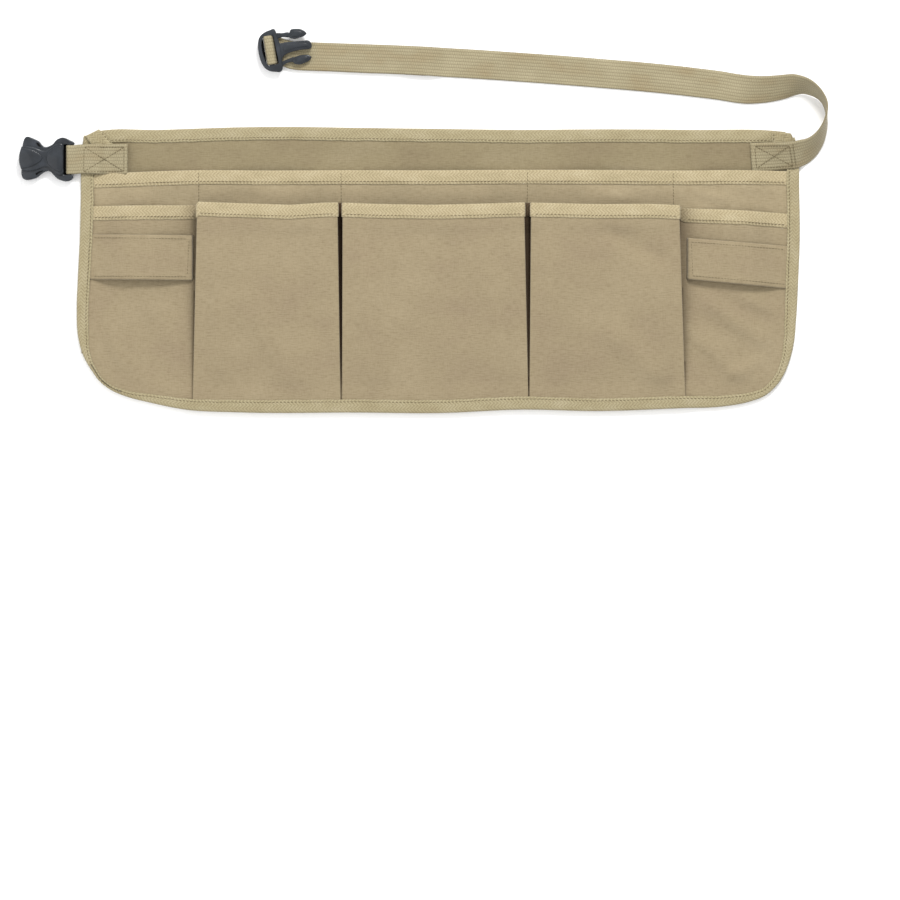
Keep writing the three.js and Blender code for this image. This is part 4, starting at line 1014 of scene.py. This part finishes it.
def moulding(outline, low, high, rounding=0.0, openings=(), count=0, material=ACETAL):
    """A plate between two heights in millimetres, with openings cut through it and its edges rounded"""
    places = closed_curve(outline, count) if count else np.asarray(outline, float)
    bpy.ops.object.select_all(action="DESELECT")
    bpy.ops.mesh.primitive_circle_add(vertices=len(places), radius=5 * MM, fill_type="NGON")
    piece = bpy.context.object
    bpy.ops.object.mode_set(mode="EDIT")
    bpy.ops.mesh.select_mode(type="VERT")
    for number, place in enumerate(places):
        bpy.ops.mesh.select_all(action="DESELECT")
        cage = bmesh.from_edit_mesh(piece.data)
        cage.verts.ensure_lookup_table()
        point = cage.verts[number]
        point.select_set(True)
        cage.select_flush_mode()
        x, y = [float(c) for c in spot(*place)]
        bpy.ops.transform.translate(value=(x - point.co.x, y - point.co.y, low * MM - point.co.z))
    bpy.ops.mesh.select_all(action="SELECT")
    bpy.ops.mesh.extrude_region_move(TRANSFORM_OT_translate={"value": (0, 0, (high - low) * MM)})
    bpy.ops.mesh.select_all(action="SELECT")
    bpy.ops.mesh.normals_make_consistent(inside=False)
    bpy.ops.object.mode_set(mode="OBJECT")
    if rounding:
        soft = piece.modifiers.new("rounding", "BEVEL")
        soft.width, soft.segments, soft.limit_method = rounding * MM, 3, "ANGLE"
        soft.angle_limit, soft.use_clamp_overlap = BEVEL_FROM, True
        bpy.context.view_layer.objects.active = piece
        bpy.ops.object.modifier_apply(modifier=soft.name)
    for opening, start, end in openings:
        tool = moulding(opening, start, end)
        cut = piece.modifiers.new("opening", "BOOLEAN")
        cut.operation, cut.solver, cut.object = "DIFFERENCE", "EXACT", tool
        bpy.context.view_layer.objects.active = piece
        bpy.ops.object.modifier_apply(modifier=cut.name)
        bpy.data.objects.remove(tool)
    piece.data.materials.clear()
    piece.data.materials.append(material)
    return piece


def buckle(name, parts, node):
    bpy.ops.object.select_all(action="DESELECT")
    for part in parts:
        part.select_set(True)
    bpy.context.view_layer.objects.active = parts[0]
    bpy.ops.object.join()
    bpy.ops.object.shade_smooth_by_angle(angle=SMOOTH_UP_TO)
    piece = bpy.context.object
    piece.name = piece.data.name = name
    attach(piece, "root")
    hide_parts(node)
    return piece


SOCKET_SHELL = [
    (27.2, 136.9), (31.3, 137.8), (35, 139.4), (39.4, 141.6), (42.5, 145.4), (45, 147.4), (50, 146.4),
    (53.8, 144), (55.8, 141.2), (58.8, 139), (63.1, 137.8), (66.6, 138.6), (70, 140.4), (75, 143.8),
    (74.2, 145), (69, 145), (64, 145.2), (63.8, 152), (63.8, 160), (63.8, 168), (64, 174.8), (69, 175),
    (73.2, 175.2), (73.8, 176.9), (72.5, 179.4), (66.3, 181.6), (61.6, 180.6), (57.5, 178.8), (53.8, 175),
    (49.1, 171.2), (45, 172.2), (41.3, 174.6), (36.9, 178.1), (32, 179.6), (27.5, 180.3), (23.4, 178.8),
    (21.9, 175), (21.7, 168.8), (20.4, 166), (19.4, 158.1), (20.8, 152), (22.6, 147.4), (24.1, 140.6),
    (25.2, 138.2),
]
SOCKET_BODY = [
    (22.4, 146.9), (27, 146.2), (33, 147), (38, 148.6), (42, 150.4), (45.6, 151), (49, 149.8), (53, 147),
    (57.5, 144.2), (62, 143.6), (63.6, 145), (63.8, 152), (63.8, 160), (63.8, 168), (63.6, 174),
    (61.6, 175.6), (58, 175), (53.5, 171.8), (49.6, 168.4), (46, 167.2), (42, 168.4), (37, 170.2),
    (31, 171.4), (25, 171.4), (21.8, 169.6), (20.2, 164), (19.9, 158), (20.6, 152),
]
SOCKET_TONGUE = [
    (19.8, 158), (20.4, 152.5), (22.2, 148.6), (27, 148.8), (33, 150.4), (38.5, 153.2), (41.8, 156),
    (43, 158.4), (41.8, 160.8), (38, 163.8), (32.5, 166.6), (26.5, 168.4), (21.9, 168.4), (20.3, 164),
]
SOCKET_PANEL = [
    (47.2, 159), (48.4, 154), (52, 150.4), (57, 147.4), (61.6, 146.6), (62.6, 149), (62.7, 159), (62.6, 169),
    (61.6, 172), (57, 171.2), (52, 167.8), (48.4, 164),
]
UPPER_WINDOW = [(36.4, 142.9), (38.8, 143.2), (41, 145.8), (41.4, 147.6), (38.4, 146.4)]
LOWER_WINDOW = [(35.8, 173.8), (39.6, 171.6), (43.4, 170.6), (43.2, 171.6), (40, 173.4), (36.8, 175.8)]
windows = [(UPPER_WINDOW, 1.6, 12), (LOWER_WINDOW, 1.6, 12)]
buckle("buckle_socket_moulding", [
    moulding(SOCKET_SHELL, 0.1, 6.8, 1.5, windows, 100),
    # a near-black plate under the socket's slot: painted shade, so the slot reads dark
    moulding([(62, 144.4), (68, 144.4), (68, 175.4), (62, 175.4)], 0.1, 2.0, 0.3, material=ACETAL_PAINTED_SHADE),
    moulding(SOCKET_BODY, 4.0, 8.7, 1.2, windows, 80),
    moulding(SOCKET_TONGUE, 7.5, 9.8, 0.8, count=50),
    moulding(SOCKET_PANEL, 7.5, 9.3, 0.6, count=44),
    moulding([(SOCKET_BAR[0] + a, b) for a, b in ((-1.7, 143.4), (1.7, 143.4), (1.7, 176.8), (-1.7, 176.8))],
             SOCKET_BAR[1] - 1.4, SOCKET_BAR[1] + 1.4, 1.0),
], "buckle_socket")


def beside_bar(along_from, along_to, half_side):
    """Corners of a box in the plug's own directions, in pixels from the middle of its bar"""
    corners = [(along_from, -half_side), (along_to, -half_side), (along_to, half_side),
               (along_from, half_side)]
    return [(PLUG_SPOT[0] + math.cos(PLUG_TILT) * a + math.sin(PLUG_TILT) * b,
             PLUG_SPOT[1] - math.sin(PLUG_TILT) * a + math.cos(PLUG_TILT) * b) for a, b in corners]


PLUG_FRAME = [
    (273.8, 29.1), (275.4, 30.6), (276.4, 33.6), (278, 38.4), (279.8, 44), (281.4, 52), (282.2, 60),
    (282.4, 63.8), (282.9, 67), (282.4, 70.6), (280.4, 72.4), (275.6, 72.2), (270.6, 71.6), (265.8, 69.2),
    (261.9, 63.8), (259.1, 55), (258.1, 46.3), (259.1, 38.8), (261.3, 35.4), (265.6, 32.3), (270.4, 30.4),
]
PLUG_OPENING = [
    (264.4, 36.8), (273.2, 36.2), (274.8, 42), (276.4, 50), (278.2, 58), (279, 64.2), (268.8, 66.6),
    (265.6, 61.6), (262.8, 54), (261.4, 46), (262, 40.4),
]
PLUG_TONGUE = [
    (277.4, 41.4), (279.8, 43.6), (285, 42.8), (293.8, 41.9), (300, 41.3), (304.4, 41), (307.8, 40.6),
    (310.4, 42.2), (311.9, 45), (311.4, 48.4), (308.6, 49.4), (303.1, 49.9), (296.9, 51), (290.6, 52.7),
    (285.6, 55), (283, 57.8), (281.9, 61), (279.6, 60), (278.4, 51),
]
TONGUE_PANEL = [
    (284, 46), (292, 44.6), (300, 43.8), (307, 44.4), (308.6, 46.4), (302, 47.4), (294, 49), (287, 51.6),
    (283.6, 50.6),
]
UPPER_ARM = [(275.5, 34), (282, 33.5), (289.5, 33.2), (289.5, 37.3), (283, 37.5), (277, 38.6)]
UPPER_HEAD = [
    (287.6, 36.2), (289.4, 33.2), (290.6, 30.3), (296.3, 29.2), (300.6, 29.5), (304.8, 31.6), (306.8, 34),
    (305, 35.8), (300, 38), (293.8, 39.2), (289.6, 38),
]
LOWER_ARM = [
    (281.4, 62.4), (284.4, 61), (289, 59), (294.6, 57.6), (295, 61.6), (289.6, 62.6), (285.4, 64.4),
    (282, 66.4),
]
LOWER_HEAD = [
    (292.5, 60), (297.5, 56.4), (303.1, 55.2), (308.8, 55.4), (311.7, 57.3), (310.2, 60.2), (305, 63.3),
    (298.8, 64.9), (293.8, 63.4),
]


def smaller(outline, share=0.62):
    middle = np.mean(outline, axis=0)
    return middle + (np.asarray(outline) - middle) * share


buckle("buckle_plug_moulding", [
    moulding(PLUG_FRAME, 3.7, 8.0, 1.3, [(PLUG_OPENING, 2, 10)], 76),
    moulding(PLUG_TONGUE, 4.2, 7.4, 0.7, count=48),
    moulding(TONGUE_PANEL, 6.8, 7.9, 0.4, count=30),
    moulding(UPPER_ARM, 4.4, 6.9, 0.9, count=24),
    moulding(UPPER_HEAD, 4.0, 7.3, 1.2, count=40),
    moulding(smaller(UPPER_HEAD), 6.6, 7.9, 0.6, count=30),
    moulding(LOWER_ARM, 4.4, 6.9, 0.9, count=28),
    moulding(LOWER_HEAD, 4.0, 7.3, 1.2, count=40),
    moulding(smaller(LOWER_HEAD), 6.6, 7.9, 0.6, count=30),
    moulding(beside_bar(-2.0, 2.2, 16.0), 4.1, 8.2, 0.9),
    # near-black lips beside the plug's bar: painted shade inside its two slots
    moulding(beside_bar(-7.8, -5.0, 14.0), 3.7, 4.5, 0.2, material=ACETAL_PAINTED_SHADE),
    moulding(beside_bar(5.2, 7.4, 14.0), 3.7, 4.5, 0.2, material=ACETAL_PAINTED_SHADE),
], "buckle_plug")


# Sewing: each stitch is a short thread, pulled into the cloth at both its ends
SEAM_FROM_TAPE_EDGE = 2.6


def sewn(name, lines, pitch=3.1 * MM, long=2.3 * MM, wide=0.62 * MM, sunk=0.16 * MM):
    vertices, faces = [], []
    shape = [(-0.5, 0.25), (-0.36, 0.85), (0, 1.0), (0.36, 0.85), (0.5, 0.25)]
    around = 6
    corners = [(math.cos(a), math.sin(a)) for a in np.linspace(0, 2 * math.pi, around + 1)[:-1]]
    for line in lines:
        line = np.asarray(line, float)
        steps = distances(line)
        for middle in np.arange(pitch * 0.6, steps[-1] - pitch * 0.4, pitch):
            ends = [np.array([np.interp(middle + way * long / 2, steps, axis) for axis in line.T])
                    for way in (-1, 1)]
            ahead = (ends[1] - ends[0]) / max(np.linalg.norm(ends[1] - ends[0]), 1e-9)
            side = np.cross(ahead, (0, 0, 1))
            side /= max(np.linalg.norm(side), 1e-9)
            up = np.cross(side, ahead)
            start = len(vertices)
            for along, thick in shape:
                height = 0.04 * MM - sunk * (2 * along) ** 4
                place = (ends[0] + ends[1]) / 2 + ahead * along * long + up * height
                vertices += [place + (side * a + up * b * 0.7) * wide / 2 * thick for a, b in corners]
            for ring in range(start, len(vertices) - around, around):
                for k in range(around):
                    a, b = ring + k, ring + (k + 1) % around
                    faces.append((a, a + around, b + around, b))
            last = len(vertices) - around
            faces += [tuple(range(start, start + around)), tuple(range(last, last + around))[::-1]]
    return new_piece(name, vertices, faces, THREAD_WITH_HOLE_SHADE)


def drawn(top, *corners, step=1.5, reach=1):
    """Line of pixels on whatever lies there, as places in metres"""
    legs = [np.linspace(a, b, max(int(math.dist(a, b) / step), 3)) for a, b in zip(corners, corners[1:])]
    u, v = np.vstack(legs).T
    return np.column_stack([*spot(u, v), softened(top(u, v), reach)])


def follows(line_at, offset, start, end):
    return [(u, float(line_at(u)) + offset) for u in np.linspace(start, end, int((end - start) / 6) + 2)]


whole_top = top_of(back_cloth, upper_cloth, front_cloth, upper_tape, front_tape, top_tape, side_tape)
band_top = top_of(strap_band, tab_band)
loop_top = top_of(left_loop, right_loop)
fold_lines = [drawn(top_of(left_fold), (101.2, 132.8), (112.4, 144.2)),
              drawn(top_of(right_fold), (773.4, 133.2), (773.8, 143.6))]
edge_stitches = sewn("edge_stitches", [top_seam[6:-6], side_seam[14:-14], *fold_lines])
mouth_lines = [drawn(whole_top, *follows(upper_mouth, MOUTH_TAPE_WIDTH - SEAM_FROM_TAPE_EDGE, 94, 787))]
for start, end in ((94, 195), (200, 336), (345.5, 521.5), (534.5, 676.5), (687, 787)):
    mouth_lines.append(drawn(whole_top, *follows(lower_mouth, MOUTH_TAPE_WIDTH - SEAM_FROM_TAPE_EDGE, start, end)))
mouth_stitches = sewn("mouth_stitches", mouth_lines)
seam_lines = [drawn(whole_top, (u, float(upper_mouth(u)) + 0.5), (u + lean, float(lower_mouth(u)) - 1.0))
              for u, lean in zip(SEAMS, (0.6, 0.3, -0.4, 0.4))]
seam_stitches = sewn("seam_stitches", seam_lines, 2.6 * MM, 2.1 * MM, 0.5 * MM, 0.2 * MM)
box_left = [(84.6, 147.3), (124.6, 147.3), (124.2, 171.6), (84.0, 172.2), (84.6, 147.3)]
box_right = [(754.6, 146.4), (788.6, 146.6), (792.4, 166.6), (756.4, 168.4), (754.6, 146.4)]
patch_lines = []
for corners in (box_left, box_right):
    patch_lines.append(drawn(band_top, *corners))
    patch_lines += [drawn(band_top, corners[0], corners[2]), drawn(band_top, corners[1], corners[3])]
patch_lines.append(drawn(band_top, (791.8, 144.4), (796.0, 167.2)))
patch_stitches = sewn("patch_stitches", patch_lines, 2.5 * MM, 2.0 * MM, 0.6 * MM)
loop_lines = [drawn(loop_top, (690.6, 242.2), (786, 249.8)), drawn(loop_top, (692, 276), (785, 284.4)),
              drawn(loop_top, (691.2, 243), (692.6, 275)), drawn(loop_top, (94, 237.8), (189, 239.2)),
              drawn(loop_top, (94, 276.4), (187, 277.0)), drawn(loop_top, (189.3, 240), (187.4, 276))]
loop_stitches = sewn("loop_stitches", loop_lines, 2.6 * MM, 2.2 * MM, 0.34 * MM, 0.2 * MM)


# Camera straight above, so far up that the photograph's pixels keep their places
STUDIO_HEIGHT = 6.0
PHOTO_SIZE = 900
view = bpy.data.cameras.new("camera")
view.sensor_width = 36
view.lens = view.sensor_width * STUDIO_HEIGHT / (PHOTO_SIZE * PIXEL)
view.clip_end = 20
camera = bpy.data.objects.new("camera", view)
camera.location = (*spot(PHOTO_SIZE / 2, PHOTO_SIZE / 2), STUDIO_HEIGHT)
bpy.context.collection.objects.link(camera)
bpy.context.scene.camera = camera


def studio_light(name, size, energy, place):
    lamp = bpy.data.lights.new(name, "AREA")
    lamp.shape, lamp.size, lamp.energy = "DISK", size, energy
    made = bpy.data.objects.new(name, lamp)
    made.location = place
    made.rotation_euler = (-Vector(place)).to_track_quat("-Z", "Y").to_euler()
    bpy.context.collection.objects.link(made)


studio_light("key", 0.6, 36.5, (0.3, 1.45, 1.4))
studio_light("fill", 2.2, 14.6, (-1.3, -0.4, 1.6))
world = bpy.data.worlds.new("studio")
bpy.context.scene.world = world
world.use_nodes = True
world.node_tree.nodes["Background"].inputs[0].default_value = (1, 1, 1, 1)
world.node_tree.nodes["Background"].inputs[1].default_value = 0.88
bpy.context.scene.view_settings.view_transform = "Standard"

bpy.ops.mesh.primitive_plane_add(size=12, location=(0, 0, -0.0004))
floor = bpy.context.object
floor.name = "pale_floor"
floor.data.materials.append(white_paper("matt_white_paper"))
